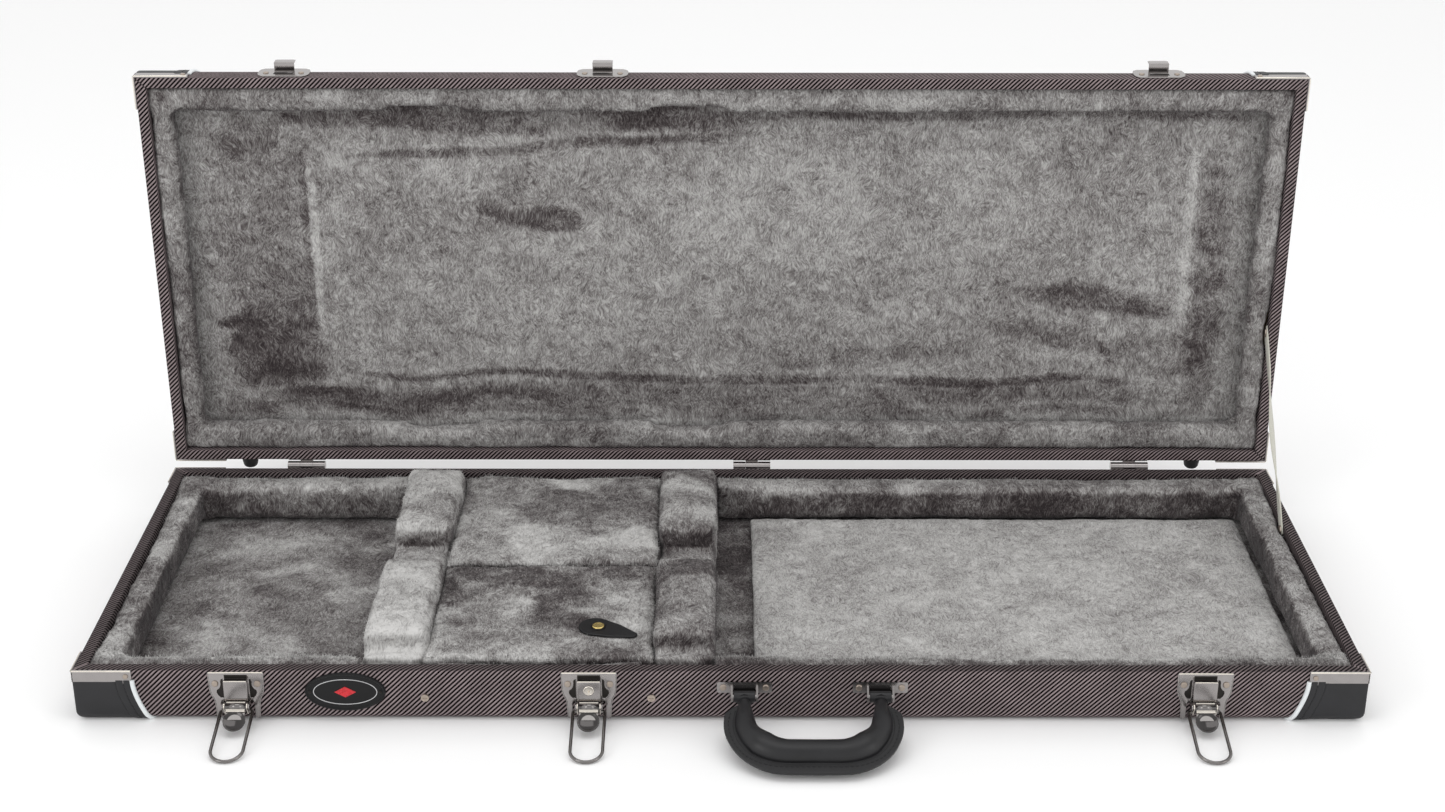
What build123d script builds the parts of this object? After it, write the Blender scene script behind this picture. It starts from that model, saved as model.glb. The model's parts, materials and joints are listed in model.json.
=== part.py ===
from build123d import *
from math import asin, cos, degrees, radians, sin
import os

# Rectangular hard case for an electric guitar, standing open on its underside.
# X runs along the case, -Y is the front, +Z is up and z = 0 is the underside.

# Driving dimensions, in millimetres and degrees
LENGTH = 1060.0
DEPTH = 385.0
BASE_HEIGHT = 48.0
LID_HEIGHT = 36.0
BASE_EDGE_RADIUS = 9.0
LID_EDGE_RADIUS = 20.0
COVER = 0.8
PLY = 8.4
PANEL = 4.0
LINING = 2.0
RIM_GAP = 0.3
OPEN_ANGLE = 88.5
HINGE_SETBACK = 5.9

# Where the fittings stand along the case
LATCH_X = {"left": -397.0, "middle": -108.0, "right": 397.0}
HINGE_X = (-404.0, 30.0, 398.0)
FOOT_X = (-461.0, 461.0)
HANDLE_X = 75.2
BADGE_X = -308.0
HEAD_REST_X = (-296.0, -246.0)
POCKET_X = (-246.0, -55.0)
BODY_REST_X = (-55.0, -6.0)
BED_START_X = 26.0

# Places worked out from them
WALL = PLY + 2 * COVER
FRONT = -DEPTH / 2
REAR = DEPTH / 2
HINGE_Y = REAR + HINGE_SETBACK
INNER_X = LENGTH / 2 - WALL
INNER_Y = DEPTH / 2 - WALL
FLOOR_Z = COVER + PANEL + LINING
LID_DEPTH = LID_HEIGHT - COVER - PANEL - LINING

# A half's own plane lies on its rim and its normal points into the half.
base_rim = Plane(origin=(0, 0, BASE_HEIGHT), x_dir=(1, 0, 0), z_dir=(0, 0, -1))
hinge_line = Location((0, HINGE_Y, BASE_HEIGHT))
lid_swing = hinge_line * Location((0, 0, 0), (-OPEN_ANGLE, 0, 0)) * hinge_line.inverse()
lid_rim = Plane(lid_swing * Location((0, 0, BASE_HEIGHT)))

os.makedirs("parts", exist_ok=True)


def save(shape, name):
    """Labels one finished piece and writes it."""
    shape.label = name
    export_step(shape, f"parts/{name}.step")


def opened(plane):
    """A plane of the closed lid, turned with the lid to where it stands open."""
    return Plane(lid_swing * plane.location)


def side_plane(x):
    """Looks along -X at the front: local x is forward of the front face, local y is up."""
    return Plane(origin=(x, FRONT, 0), x_dir=(0, -1, 0), z_dir=(-1, 0, 0))


def front_plane(x, forward=0.0, z=0.0):
    """Parallel to the front face: local x is along the case, local y is up."""
    return Plane(origin=(x, FRONT - forward, z), x_dir=(1, 0, 0), z_dir=(0, -1, 0))


def rear_plane(x, behind=0.0, z=0.0):
    """Parallel to the rear face, facing backwards: local y is up."""
    return Plane(origin=(x, REAR + behind, z), x_dir=(-1, 0, 0), z_dir=(0, 1, 0))


def block(frame, length, width, start, end, edge_radius=0.0):
    """A box from start to end above a plane, with the edges of its far face rounded."""
    with BuildPart() as solid:
        with BuildSketch(frame.offset(start)):
            Rectangle(length, width)
        extrude(amount=end - start)
        if edge_radius:
            far = solid.faces().sort_by(Axis(frame.origin, frame.z_dir))[-1]
            fillet(far.edges(), edge_radius)
    return solid.part


def bar(plane, low, high, amount):
    """A box on a plane, from one corner of its rectangle to the other."""
    with BuildPart() as solid:
        with BuildSketch(plane):
            with Locations(((low[0] + high[0]) / 2, (low[1] + high[1]) / 2)):
                Rectangle(high[0] - low[0], high[1] - low[1])
        extrude(amount=amount)
    return solid.part


# The two halves: boards, panels, woven cover, corner hardware


def half_shell(frame, height, radius):
    """The ply of one half in one piece: walls and panel, rounded inside and out."""
    inner_radius = max(radius - PLY, 0)
    with BuildPart() as shell:
        add(block(frame, LENGTH - 2 * COVER, DEPTH - 2 * COVER, COVER, height - COVER, radius - COVER))
        cavity = block(
            frame,
            LENGTH - 2 * (COVER + PLY),
            DEPTH - 2 * (COVER + PLY),
            COVER,
            height - COVER - PANEL,
            inner_radius,
        )
        add(cavity, mode=Mode.SUBTRACT)
    return shell.part


def shell_part(shell, frame, height, spots, size):
    """What a shell holds inside upright prisms that stand on its rim."""
    with BuildPart() as piece:
        add(shell)
        with BuildSketch(frame):
            with Locations(*spots):
                Rectangle(*size)
        extrude(amount=height, mode=Mode.INTERSECT)
    return piece.part


def side_cover(frame, height, radius, inset):
    """The woven cover of the walls: outside, over the rim, and a turn-in down the inside."""
    turn_in = 12.0
    with BuildPart() as skin:
        add(block(frame, LENGTH, DEPTH, RIM_GAP / 2, height, radius))
        core = block(frame, LENGTH - 2 * COVER, DEPTH - 2 * COVER, COVER, height - COVER, radius - COVER)
        add(core, mode=Mode.SUBTRACT)
        with BuildSketch(frame):
            Rectangle(2 * INNER_X, 2 * INNER_Y)
        extrude(amount=COVER, mode=Mode.SUBTRACT)
        with BuildSketch(frame.offset(height - 2 * COVER)):
            Rectangle(LENGTH - 2 * inset, DEPTH - 2 * inset)
        extrude(amount=3 * COVER, mode=Mode.SUBTRACT)
        with BuildSketch(frame.offset(COVER)):
            Rectangle(2 * (INNER_X + COVER), 2 * (INNER_Y + COVER))
            Rectangle(2 * INNER_X, 2 * INNER_Y, mode=Mode.SUBTRACT)
        extrude(amount=turn_in)
    return skin.part


def corner_skin(frame, height, radius, thickness, start, end, along_x, along_y, width=None):
    """A skin outside a half's corners, from start to end below the rim.

    Without a width it fills each corner, along_x by along_y. With one it is only the
    strip of that width at the far edge of each of the corner's two faces.
    """
    with BuildPart() as skin:
        outside = block(
            frame, LENGTH + 2 * thickness, DEPTH + 2 * thickness, 0, height, radius + thickness
        )
        add(outside)
        add(block(frame, LENGTH, DEPTH, -1, height, radius), mode=Mode.SUBTRACT)
        with BuildSketch(frame.offset(start)):
            if width is None:
                with GridLocations(LENGTH, DEPTH, 2, 2):
                    Rectangle(2 * along_x, 2 * along_y)
            else:
                with GridLocations(LENGTH - 2 * along_x - width, DEPTH, 2, 2):
                    Rectangle(width, 2 * radius)
                with GridLocations(LENGTH, DEPTH - 2 * along_y - width, 2, 2):
                    Rectangle(2 * radius, width)
        extrude(amount=end - start, mode=Mode.INTERSECT)
    return skin.part


def repeated(shape, planes):
    """One shape, drawn on Plane.XY, placed on every plane."""
    with BuildPart() as copies:
        with Locations(*[plane.location for plane in planes]):
            add(shape)
    return copies.part


def rivet_heads(planes, radius, rise):
    """Domed heads, one on each plane."""
    with BuildPart() as head:
        with BuildSketch():
            Circle(radius)
        extrude(amount=rise)
        fillet(head.edges().sort_by(Axis.Z)[-1], rise * 0.7)
    return repeated(head.part, planes)


STRIP = 1.4
STRIP_LONG = 48.0
STRIP_SHORT = 30.0
STRIP_DROP = 11.0
CAP = 1.2
CAP_LONG = 56.0
CAP_SHORT = 44.0
PIPING = 2.4
RIVET_RADIUS = 2.8
RIVET_RISE = 1.3
STRIP_RIVET_IN = 5.0
STRIP_RIVET_RADIUS = 2.2
SMALL_RIVET_RISE = 1.0


def build_half(prefix, frame, height, radius, far_name):
    """Every hard piece that the base and the lid have alike."""
    inset = max(radius, WALL) + 1.0
    shell = half_shell(frame, height, radius)
    long_y = (DEPTH - inset) / 2
    long_size = (LENGTH, inset)
    front_side = 1 if frame.z_dir.Z < -0.5 else -1
    if prefix == "base":
        save(shell_part(shell, frame, height, [(0, front_side * long_y)], long_size), "base_front_board")
        save(shell_part(shell, frame, height, [(0, -front_side * long_y)], long_size), "base_rear_board")
    else:
        both = [(0, long_y), (0, -long_y)]
        save(shell_part(shell, frame, height, both, long_size), "lid_long_boards")
    short_x = (LENGTH - inset) / 2
    short = shell_part(
        shell, frame, height, [(short_x, 0), (-short_x, 0)], (inset, DEPTH - 2 * inset)
    )
    save(short, f"{prefix}_side_boards")
    middle = (LENGTH - 2 * inset, DEPTH - 2 * inset)
    save(shell_part(shell, frame, height, [(0, 0)], middle), f"{prefix}_{far_name}_panel")
    save(block(frame, *middle, height - COVER, height), f"{prefix}_{far_name}_cover")
    save(side_cover(frame, height, radius, inset), f"{prefix}_side_cover")
    strips = corner_skin(frame, height, radius, STRIP, RIM_GAP, STRIP_DROP, STRIP_LONG, STRIP_SHORT)
    save(strips, f"{prefix}_corner_strips")
    cap_end = height - 1.5
    caps = corner_skin(frame, height, radius, CAP, STRIP_DROP, cap_end, CAP_LONG, CAP_SHORT)
    save(caps, f"{prefix}_corner_caps")
    piping = corner_skin(
        frame, height, radius, PIPING, STRIP_DROP, cap_end, CAP_LONG, CAP_SHORT, PIPING
    )
    save(piping, f"{prefix}_cap_piping")
    rivet_x = LENGTH / 2 - STRIP_LONG + STRIP_RIVET_IN
    planes = []
    for x in (-rivet_x, rivet_x):
        for side in (-1, 1):
            spot = Plane(
                origin=(x, side * (DEPTH / 2 + STRIP), STRIP_DROP - STRIP_RIVET_IN),
                z_dir=(0, side, 0),
            )
            planes.append(Plane(frame.location * spot.location))
    save(rivet_heads(planes, STRIP_RIVET_RADIUS, SMALL_RIVET_RISE), f"{prefix}_strip_rivets")


build_half("base", base_rim, BASE_HEIGHT, BASE_EDGE_RADIUS, "bottom")
build_half("lid", lid_rim, LID_HEIGHT, LID_EDGE_RADIUS, "top")

# Plush lining of the base
PAD_TOP = BASE_HEIGHT - 1.0
SIDE_PAD = 21.0
REAR_PAD = 25.0
POCKET_PAD = 9.0
STRAP_ROOM = 4.5
BED_TOP = 14.5
REST_TOP = 65.0
REST_END = 162.0
NOTCH_WIDTH = 56.0
NOTCH_CENTRE_Y = 8.0
NOTCH_FLOOR = 42.0

lining_plane = Plane.XY.offset(COVER + PANEL)
base_floor_lining = bar(lining_plane, (-INNER_X, -INNER_Y), (INNER_X, INNER_Y), LINING)
save(base_floor_lining, "base_floor_lining")

with BuildPart() as base_wall_pads:
    with BuildSketch(Plane.XY.offset(FLOOR_Z)):
        bays = (
            (-INNER_X, HEAD_REST_X[0], SIDE_PAD, REAR_PAD),
            (HEAD_REST_X[1] + 6.5, BODY_REST_X[0] - 6.5, POCKET_PAD, POCKET_PAD),
            (BODY_REST_X[1], INNER_X, SIDE_PAD, REAR_PAD),
        )
        for start_x, end_x, front_pad, rear_pad in bays:
            with Locations(((start_x + end_x) / 2, -INNER_Y + front_pad / 2)):
                Rectangle(end_x - start_x - 1, front_pad)
            with Locations(((start_x + end_x) / 2, INNER_Y - rear_pad / 2)):
                Rectangle(end_x - start_x - 1, rear_pad)
        side_length = 2 * INNER_Y - SIDE_PAD - REAR_PAD - 1
        side_y = (SIDE_PAD - REAR_PAD) / 2
        side_x = INNER_X - STRAP_ROOM - (SIDE_PAD - STRAP_ROOM) / 2
        with Locations((-side_x, side_y), (side_x, side_y)):
            Rectangle(SIDE_PAD - STRAP_ROOM, side_length)
    extrude(amount=PAD_TOP - FLOOR_Z)
save(base_wall_pads.part, "base_wall_pads")

bed_low = (BED_START_X, -INNER_Y + SIDE_PAD + 1)
bed_high = (INNER_X - SIDE_PAD - 1, INNER_Y - REAR_PAD - 1)
save(bar(Plane.XY.offset(FLOOR_Z), bed_low, bed_high, BED_TOP - FLOOR_Z), "body_bed_pad")


def neck_rest(start_x, end_x):
    """A plush saddle across the case, with a notch for the neck, low enough at its ends for the lid."""
    with BuildPart() as rest:
        with BuildSketch(Plane.YZ.offset(start_x + 0.5)):
            with BuildLine():
                Polyline(
                    (-INNER_Y + 0.5, FLOOR_Z),
                    (INNER_Y - 0.5, FLOOR_Z),
                    (INNER_Y - 0.5, PAD_TOP),
                    (REST_END, PAD_TOP),
                    (REST_END, REST_TOP),
                    (-REST_END, REST_TOP),
                    (-REST_END, PAD_TOP),
                    (-INNER_Y + 0.5, PAD_TOP),
                    close=True,
                )
            make_face()
            with Locations((NOTCH_CENTRE_Y, (NOTCH_FLOOR + REST_TOP) / 2)):
                Rectangle(NOTCH_WIDTH, REST_TOP - NOTCH_FLOOR, mode=Mode.SUBTRACT)
        extrude(amount=end_x - start_x - 1)
        crown = rest.faces().filter_by(Axis.Z).group_by(Axis.Z)[-1]
        fillet(crown.edges().filter_by(Axis.X), 9.0)
    return rest.part


save(neck_rest(*HEAD_REST_X), "head_neck_rest")
save(neck_rest(*BODY_REST_X), "body_neck_rest")

# The accessory pocket between the neck rests
DIVIDER = 6.0
POCKET_PANEL = 5.0
POCKET_TOP = 46.5
POCKET_HINGE_Y = -6.5
POCKET_HINGE_Z = POCKET_TOP + 0.3
POCKET_FRONT = -INNER_Y + POCKET_PAD + 1.0
POCKET_REAR = INNER_Y - POCKET_PAD - 1.0
divider_z = POCKET_TOP - POCKET_PANEL - 0.2

with BuildPart() as pocket_dividers:
    with BuildSketch(Plane.XY.offset(FLOOR_Z)):
        for x in (POCKET_X[0] + DIVIDER / 2, POCKET_X[1] - DIVIDER / 2):
            with Locations((x, 0)):
                Rectangle(DIVIDER, 2 * INNER_Y - 1)
    extrude(amount=divider_z - FLOOR_Z)
save(pocket_dividers.part, "pocket_dividers")

panel_plane = Plane.XY.offset(POCKET_TOP - POCKET_PANEL)
panel_low_x = POCKET_X[0] + 1.0
panel_high_x = POCKET_X[1] - 1.0
fixed_panel = bar(
    panel_plane, (panel_low_x, POCKET_HINGE_Y + 0.6), (panel_high_x, POCKET_REAR), POCKET_PANEL
)
save(fixed_panel, "pocket_fixed_panel")
pocket_lid = bar(
    panel_plane, (panel_low_x, POCKET_FRONT), (panel_high_x, POCKET_HINGE_Y - 0.6), POCKET_PANEL
)
save(pocket_lid, "pocket_lid")

TAB_CENTRE = (-96.2, -125.3)
TAB_TURN = -23.0
TAB_ROUND = (11.0, 4.0)
TAB_ROUND_X = (-14.0, 24.0)
BUTTON_X = -8.0
BUTTON_RADIUS = 5.5
BUTTON_RISE = 2.0
TAB_THICKNESS = 1.6
tab_plane = Plane(Location((*TAB_CENTRE, POCKET_TOP), (0, 0, TAB_TURN)))
with BuildPart() as pull_tab:
    with BuildSketch(tab_plane):
        for x, radius in zip(TAB_ROUND_X, TAB_ROUND):
            with Locations((x, 0)):
                Circle(radius)
        make_hull()
    extrude(amount=TAB_THICKNESS)
save(pull_tab.part, "pull_tab")

button_plane = Plane(tab_plane.location * Location((BUTTON_X, 0, TAB_THICKNESS)))
save(rivet_heads([button_plane], BUTTON_RADIUS, BUTTON_RISE), "pull_tab_button")

# Plush lining of the lid, drawn on the closed lid and turned open with it
LID_PAD = 18.0
lid_inner = opened(Plane.XY.offset(BASE_HEIGHT + 1.0))
lid_pad_depth = LID_DEPTH - 1.0
lining_plane = opened(Plane.XY.offset(BASE_HEIGHT + LID_DEPTH))
lining_margin = LID_EDGE_RADIUS - PLY
lining_low = (-INNER_X + lining_margin, -INNER_Y + lining_margin)
lining_high = (INNER_X - lining_margin, INNER_Y - lining_margin)
save(bar(lining_plane, lining_low, lining_high, LINING - 0.1), "lid_top_lining")

with BuildPart() as lid_wall_pads:
    with BuildSketch(lid_inner):
        with Locations((0, INNER_Y - LID_PAD / 2), (0, -INNER_Y + LID_PAD / 2)):
            Rectangle(2 * INNER_X - 1, LID_PAD)
        lid_side_x = INNER_X - STRAP_ROOM - (LID_PAD - STRAP_ROOM) / 2
        with Locations((-lid_side_x, 0), (lid_side_x, 0)):
            Rectangle(LID_PAD - STRAP_ROOM, 2 * (INNER_Y - LID_PAD) - 1)
    extrude(amount=lid_pad_depth)
    cavity = block(
        opened(Plane.XY.offset(BASE_HEIGHT)), 2 * INNER_X, 2 * INNER_Y, 0, LID_DEPTH, lining_margin
    )
    add(cavity, mode=Mode.INTERSECT)
save(lid_wall_pads.part, "lid_wall_pads")

# Latches: a plate with a raised housing, a lever on a pin and a wire bail on the lever
PLATE = 1.2
PLATE_RIVET = (17.3, 35.5)
HOUSING_HALF = 10.0
HOUSING_FORWARD = 6.0
HOUSING_Z = (23.0, 42.0)
LEVER_PIVOT = (9.0, 18.5)
LEVER_TILT = 33.0
LEVER_REACH = 22.0
LEVER_HALF = 9.9
LEVER_INNER_HALF = 8.7
BARREL_RADIUS = 4.0
TAB_RADIUS = 8.8
TAB_HALF_THICKNESS = 0.8
PIN_RADIUS = 1.3
PIN_PLAY = 0.05
EAR_RADIUS = 2.6
EAR_INNER_HALF = 10.3
EAR_OUTER_HALF = 11.3
BAIL_OFFSET = 6.2
BAIL_ANGLE = -114.0
WIRE_RADIUS = 1.4
WIRE_PLAY = 0.05
BAIL_HALF = 13.1
BAIL_LENGTH = 61.2
LOCK_RADIUS = 3.2
LOCK_Z = 32.0
FLOOR_PLAY = 0.2

bail_pivot = (
    LEVER_PIVOT[0] + BAIL_OFFSET * cos(radians(BAIL_ANGLE)),
    LEVER_PIVOT[1] + BAIL_OFFSET * sin(radians(BAIL_ANGLE)),
)
bail_drop = bail_pivot[1] - WIRE_RADIUS - FLOOR_PLAY
BAIL_TILT = degrees(asin(bail_drop / (BAIL_LENGTH - WIRE_RADIUS)))


def latch_plate(x, has_lock):
    """One latch plate: its flange, the hollow housing and two ears for the pin."""
    with BuildPart() as plate:
        with BuildSketch(front_plane(x)):
            with BuildLine():
                Polyline(
                    (-22.5, 46.0),
                    (-22.5, 33.0),
                    (-17.0, 26.0),
                    (-17.0, 4.0),
                    (17.0, 4.0),
                    (17.0, 26.0),
                    (22.5, 33.0),
                    (22.5, 46.0),
                    close=True,
                )
            make_face()
        extrude(amount=PLATE)
        wall = 1.0
        middle_z = (HOUSING_Z[0] + HOUSING_Z[1]) / 2
        height = HOUSING_Z[1] - HOUSING_Z[0]
        with BuildSketch(front_plane(x, PLATE, middle_z)):
            Rectangle(2 * HOUSING_HALF, height)
        extrude(amount=HOUSING_FORWARD - PLATE)
        with BuildSketch(front_plane(x, PLATE, middle_z - wall)):
            Rectangle(2 * (HOUSING_HALF - wall), height)
        extrude(amount=HOUSING_FORWARD - PLATE - wall, mode=Mode.SUBTRACT)
        if has_lock:
            with BuildSketch(front_plane(x, PLATE, LOCK_Z)):
                Circle(LOCK_RADIUS + PIN_PLAY)
            extrude(amount=HOUSING_FORWARD, mode=Mode.SUBTRACT)
        for side in (-1, 1):
            middle = side * (EAR_INNER_HALF + EAR_OUTER_HALF) / 2
            with BuildSketch(side_plane(x + middle)):
                with Locations(LEVER_PIVOT):
                    Circle(EAR_RADIUS)
                with Locations((LEVER_PIVOT[0] / 2 + PLATE / 2, LEVER_PIVOT[1])):
                    Rectangle(LEVER_PIVOT[0] - PLATE, 2 * EAR_RADIUS)
                with Locations(LEVER_PIVOT):
                    Circle(PIN_RADIUS, mode=Mode.SUBTRACT)
            extrude(amount=(EAR_OUTER_HALF - EAR_INNER_HALF) / 2, both=True)
    return plate.part


def latch_lever(x):
    """The lever: two cheeks, the barrel between them and the round thumb tab."""
    pivot = Vector(x, FRONT - LEVER_PIVOT[0], LEVER_PIVOT[1])
    tilt = radians(LEVER_TILT)
    tab_plane = Plane(origin=pivot, x_dir=(1, 0, 0), z_dir=(0, -sin(tilt), cos(tilt)))
    with BuildPart() as lever:
        with BuildSketch(side_plane(x)):
            with Locations(LEVER_PIVOT):
                Circle(3.3)
            with Locations(bail_pivot):
                Circle(2.6)
            make_hull()
        extrude(amount=LEVER_HALF, both=True)
        with BuildSketch(side_plane(x)):
            with Locations(bail_pivot):
                Rectangle(12, 12)
            with Locations(LEVER_PIVOT):
                Rectangle(12, 12)
        extrude(amount=LEVER_INNER_HALF, both=True, mode=Mode.SUBTRACT)
        with BuildSketch(side_plane(x)):
            with Locations(LEVER_PIVOT):
                Circle(BARREL_RADIUS)
        extrude(amount=LEVER_INNER_HALF, both=True)
        with BuildSketch(tab_plane):
            with Locations((0, -(LEVER_REACH - TAB_RADIUS))):
                Circle(TAB_RADIUS)
            with Locations((0, -(LEVER_REACH - TAB_RADIUS) / 2)):
                Rectangle(2 * (LEVER_INNER_HALF - 0.5), LEVER_REACH - TAB_RADIUS)
        extrude(amount=TAB_HALF_THICKNESS, both=True)
        with BuildSketch(side_plane(x)):
            with Locations(LEVER_PIVOT):
                Circle(PIN_RADIUS + PIN_PLAY)
            with Locations(bail_pivot):
                Circle(WIRE_RADIUS + WIRE_PLAY)
        extrude(amount=LEVER_HALF + 1, both=True, mode=Mode.SUBTRACT)
    return lever.part


def latch_bail(x):
    """The wire bail, lying forwards: its two ends turn in through the lever's cheeks."""
    tilt = radians(BAIL_TILT)
    pivot = Vector(x, FRONT - bail_pivot[0], bail_pivot[1])
    plane = Plane(origin=pivot, x_dir=(1, 0, 0), z_dir=(0, -sin(tilt), cos(tilt)))
    end = LEVER_INNER_HALF + 0.2
    bend = 2.0
    with BuildPart() as bail:
        with BuildLine(plane) as wire:
            inward = Line((-end, 0), (-(BAIL_HALF - bend), 0))
            knee = JernArc(inward @ 1, inward % 1, bend, 90)
            leg = Line(knee @ 1, (-BAIL_HALF, -(BAIL_LENGTH - WIRE_RADIUS - BAIL_HALF)))
            loop = JernArc(leg @ 1, leg % 1, BAIL_HALF, 180)
            back = Line(loop @ 1, (BAIL_HALF, -bend))
            far_knee = JernArc(back @ 1, back % 1, bend, 90)
            Line(far_knee @ 1, (end, 0))
        with BuildSketch(wire.line ^ 0):
            Circle(WIRE_RADIUS)
        sweep()
    return bail.part


with BuildPart() as latch_plates:
    for side, x in LATCH_X.items():
        add(latch_plate(x, side == "middle"))
save(latch_plates.part, "latch_plates")

with BuildPart() as latch_pins:
    for x in LATCH_X.values():
        with BuildSketch(side_plane(x)):
            with Locations(LEVER_PIVOT):
                Circle(PIN_RADIUS)
        extrude(amount=EAR_OUTER_HALF, both=True)
save(latch_pins.part, "latch_pins")

for side, x in LATCH_X.items():
    save(latch_lever(x), f"latch_lever_{side}")
    save(latch_bail(x), f"latch_bail_{side}")

KEYHOLE_DEPTH = 1.4
KEYHOLE_RADIUS = 0.9
KEY_SLOT = (0.9, 2.0)
with BuildPart() as lock_cylinder:
    with BuildSketch(front_plane(LATCH_X["middle"], PLATE + 0.2, LOCK_Z)):
        Circle(LOCK_RADIUS)
    extrude(amount=HOUSING_FORWARD - PLATE + 0.4)
    with BuildSketch(front_plane(LATCH_X["middle"], HOUSING_FORWARD - KEYHOLE_DEPTH, LOCK_Z)):
        Circle(KEYHOLE_RADIUS)
        with Locations((0, -KEY_SLOT[1] / 2 - 0.3)):
            Rectangle(*KEY_SLOT)
    extrude(amount=2 * KEYHOLE_DEPTH, mode=Mode.SUBTRACT)
save(lock_cylinder.part, "lock_cylinder")

# Strikes on the lid's front wall, with a hook that opens away from the rim
STRIKE_HALF = 23.5
STRIKE_Z = (3.0, 26.0)
HOOK_HALF = 9.2
HOOK_FORWARD = (8.3, 9.5)
HOOK_ROOT_Z = (17.0, 18.4)
HOOK_TIP_Z = 26.5
STRIKE_RIVET = (16.0, 12.0)
STRIKE_RIVET_RADIUS = 2.5
STRIKE_CORNER = 7.0


def lid_front(x, forward=0.0, above_rim=0.0):
    """On the lid's front wall: local x is along the case, local y is away from the rim."""
    return opened(front_plane(x, forward, BASE_HEIGHT + above_rim))


with BuildPart() as lid_strikes:
    for x in LATCH_X.values():
        with BuildSketch(lid_front(x)):
            with Locations((0, sum(STRIKE_Z) / 2)):
                RectangleRounded(2 * STRIKE_HALF, STRIKE_Z[1] - STRIKE_Z[0], STRIKE_CORNER)
        extrude(amount=PLATE)
        with BuildSketch(lid_front(x, PLATE)):
            with Locations((0, sum(HOOK_ROOT_Z) / 2)):
                Rectangle(2 * HOOK_HALF, HOOK_ROOT_Z[1] - HOOK_ROOT_Z[0])
        extrude(amount=HOOK_FORWARD[1] - PLATE)
        with BuildSketch(lid_front(x, HOOK_FORWARD[0])):
            with Locations((0, (HOOK_ROOT_Z[0] + HOOK_TIP_Z) / 2)):
                Rectangle(2 * HOOK_HALF, HOOK_TIP_Z - HOOK_ROOT_Z[0])
        extrude(amount=HOOK_FORWARD[1] - HOOK_FORWARD[0])
save(lid_strikes.part, "lid_strikes")

strike_rivet_planes = [
    lid_front(x + side * STRIKE_RIVET[0], PLATE, STRIKE_RIVET[1])
    for x in LATCH_X.values()
    for side in (-1, 1)
]
save(rivet_heads(strike_rivet_planes, STRIKE_RIVET_RADIUS, SMALL_RIVET_RISE), "lid_strike_rivets")

# Carrying handle: two eyed brackets with pins, a padded grip and its sewn welt
HANDLE_SPACING = 111.5
BRACKET_LENGTH = 45.0
BRACKET_Z = (27.5, 37.5)
BRACKET_CORNER = 1.5
BRACKET_RIVET = 17.5
HANDLE_PIVOT = (6.5, 27.0)
HANDLE_PIN = 2.0
HANDLE_PIN_PLAY = 0.06
EYE_RADIUS = 5.0
EYE_HALF = 9.0
BRACKET_EAR = (9.6, 11.2)
EAR_MARGIN = 3.2
EAR_TOP = 8.0
EAR_SHOULDER = 1.0
EAR_BACK = 0.2
GRIP_REACH = 66.5
LEG_RADIUS = 8.6
LEG_START = 22.0
NECK_HALF = (6.6, 4.6)
NECK_LENGTH = 8.0
GRIP_RADIUS = 11.5
GRIP_BEND = 30.0
WELT_HALF_THICKNESS = 1.6
WELT_OUT = 16.0
WELT_START = 18.0
GRIP_END_ROUND = 2.0
handle_pins_x = (HANDLE_X - HANDLE_SPACING / 2, HANDLE_X + HANDLE_SPACING / 2)
HANDLE_TILT = degrees(asin((HANDLE_PIVOT[1] - GRIP_RADIUS - FLOOR_PLAY) / GRIP_REACH))

with BuildPart() as handle_brackets:
    for x in handle_pins_x:
        with BuildSketch(front_plane(x)):
            with Locations((0, sum(BRACKET_Z) / 2)):
                RectangleRounded(BRACKET_LENGTH, BRACKET_Z[1] - BRACKET_Z[0], BRACKET_CORNER)
        extrude(amount=PLATE)
        for side in (-1, 1):
            with BuildSketch(side_plane(x + side * sum(BRACKET_EAR) / 2)):
                with BuildLine():
                    Polyline(
                        (EAR_BACK, HANDLE_PIVOT[1] + 3.0),
                        (EAR_BACK, HANDLE_PIVOT[1] + EAR_TOP),
                        (PLATE + EAR_SHOULDER, HANDLE_PIVOT[1] + EAR_TOP),
                        (HANDLE_PIVOT[0] + EAR_MARGIN, HANDLE_PIVOT[1] + EAR_SHOULDER),
                        (HANDLE_PIVOT[0] + EAR_MARGIN, HANDLE_PIVOT[1] - EAR_MARGIN),
                        (HANDLE_PIVOT[0] - EAR_MARGIN, HANDLE_PIVOT[1] - EAR_MARGIN),
                        close=True,
                    )
                make_face()
                with Locations(HANDLE_PIVOT):
                    Circle(HANDLE_PIN, mode=Mode.SUBTRACT)
            extrude(amount=(BRACKET_EAR[1] - BRACKET_EAR[0]) / 2, both=True)
save(handle_brackets.part, "handle_brackets")

with BuildPart() as handle_pins:
    for x in handle_pins_x:
        with BuildSketch(side_plane(x)):
            with Locations(HANDLE_PIVOT):
                Circle(HANDLE_PIN)
        extrude(amount=BRACKET_EAR[1], both=True)
save(handle_pins.part, "handle_pins")

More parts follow.
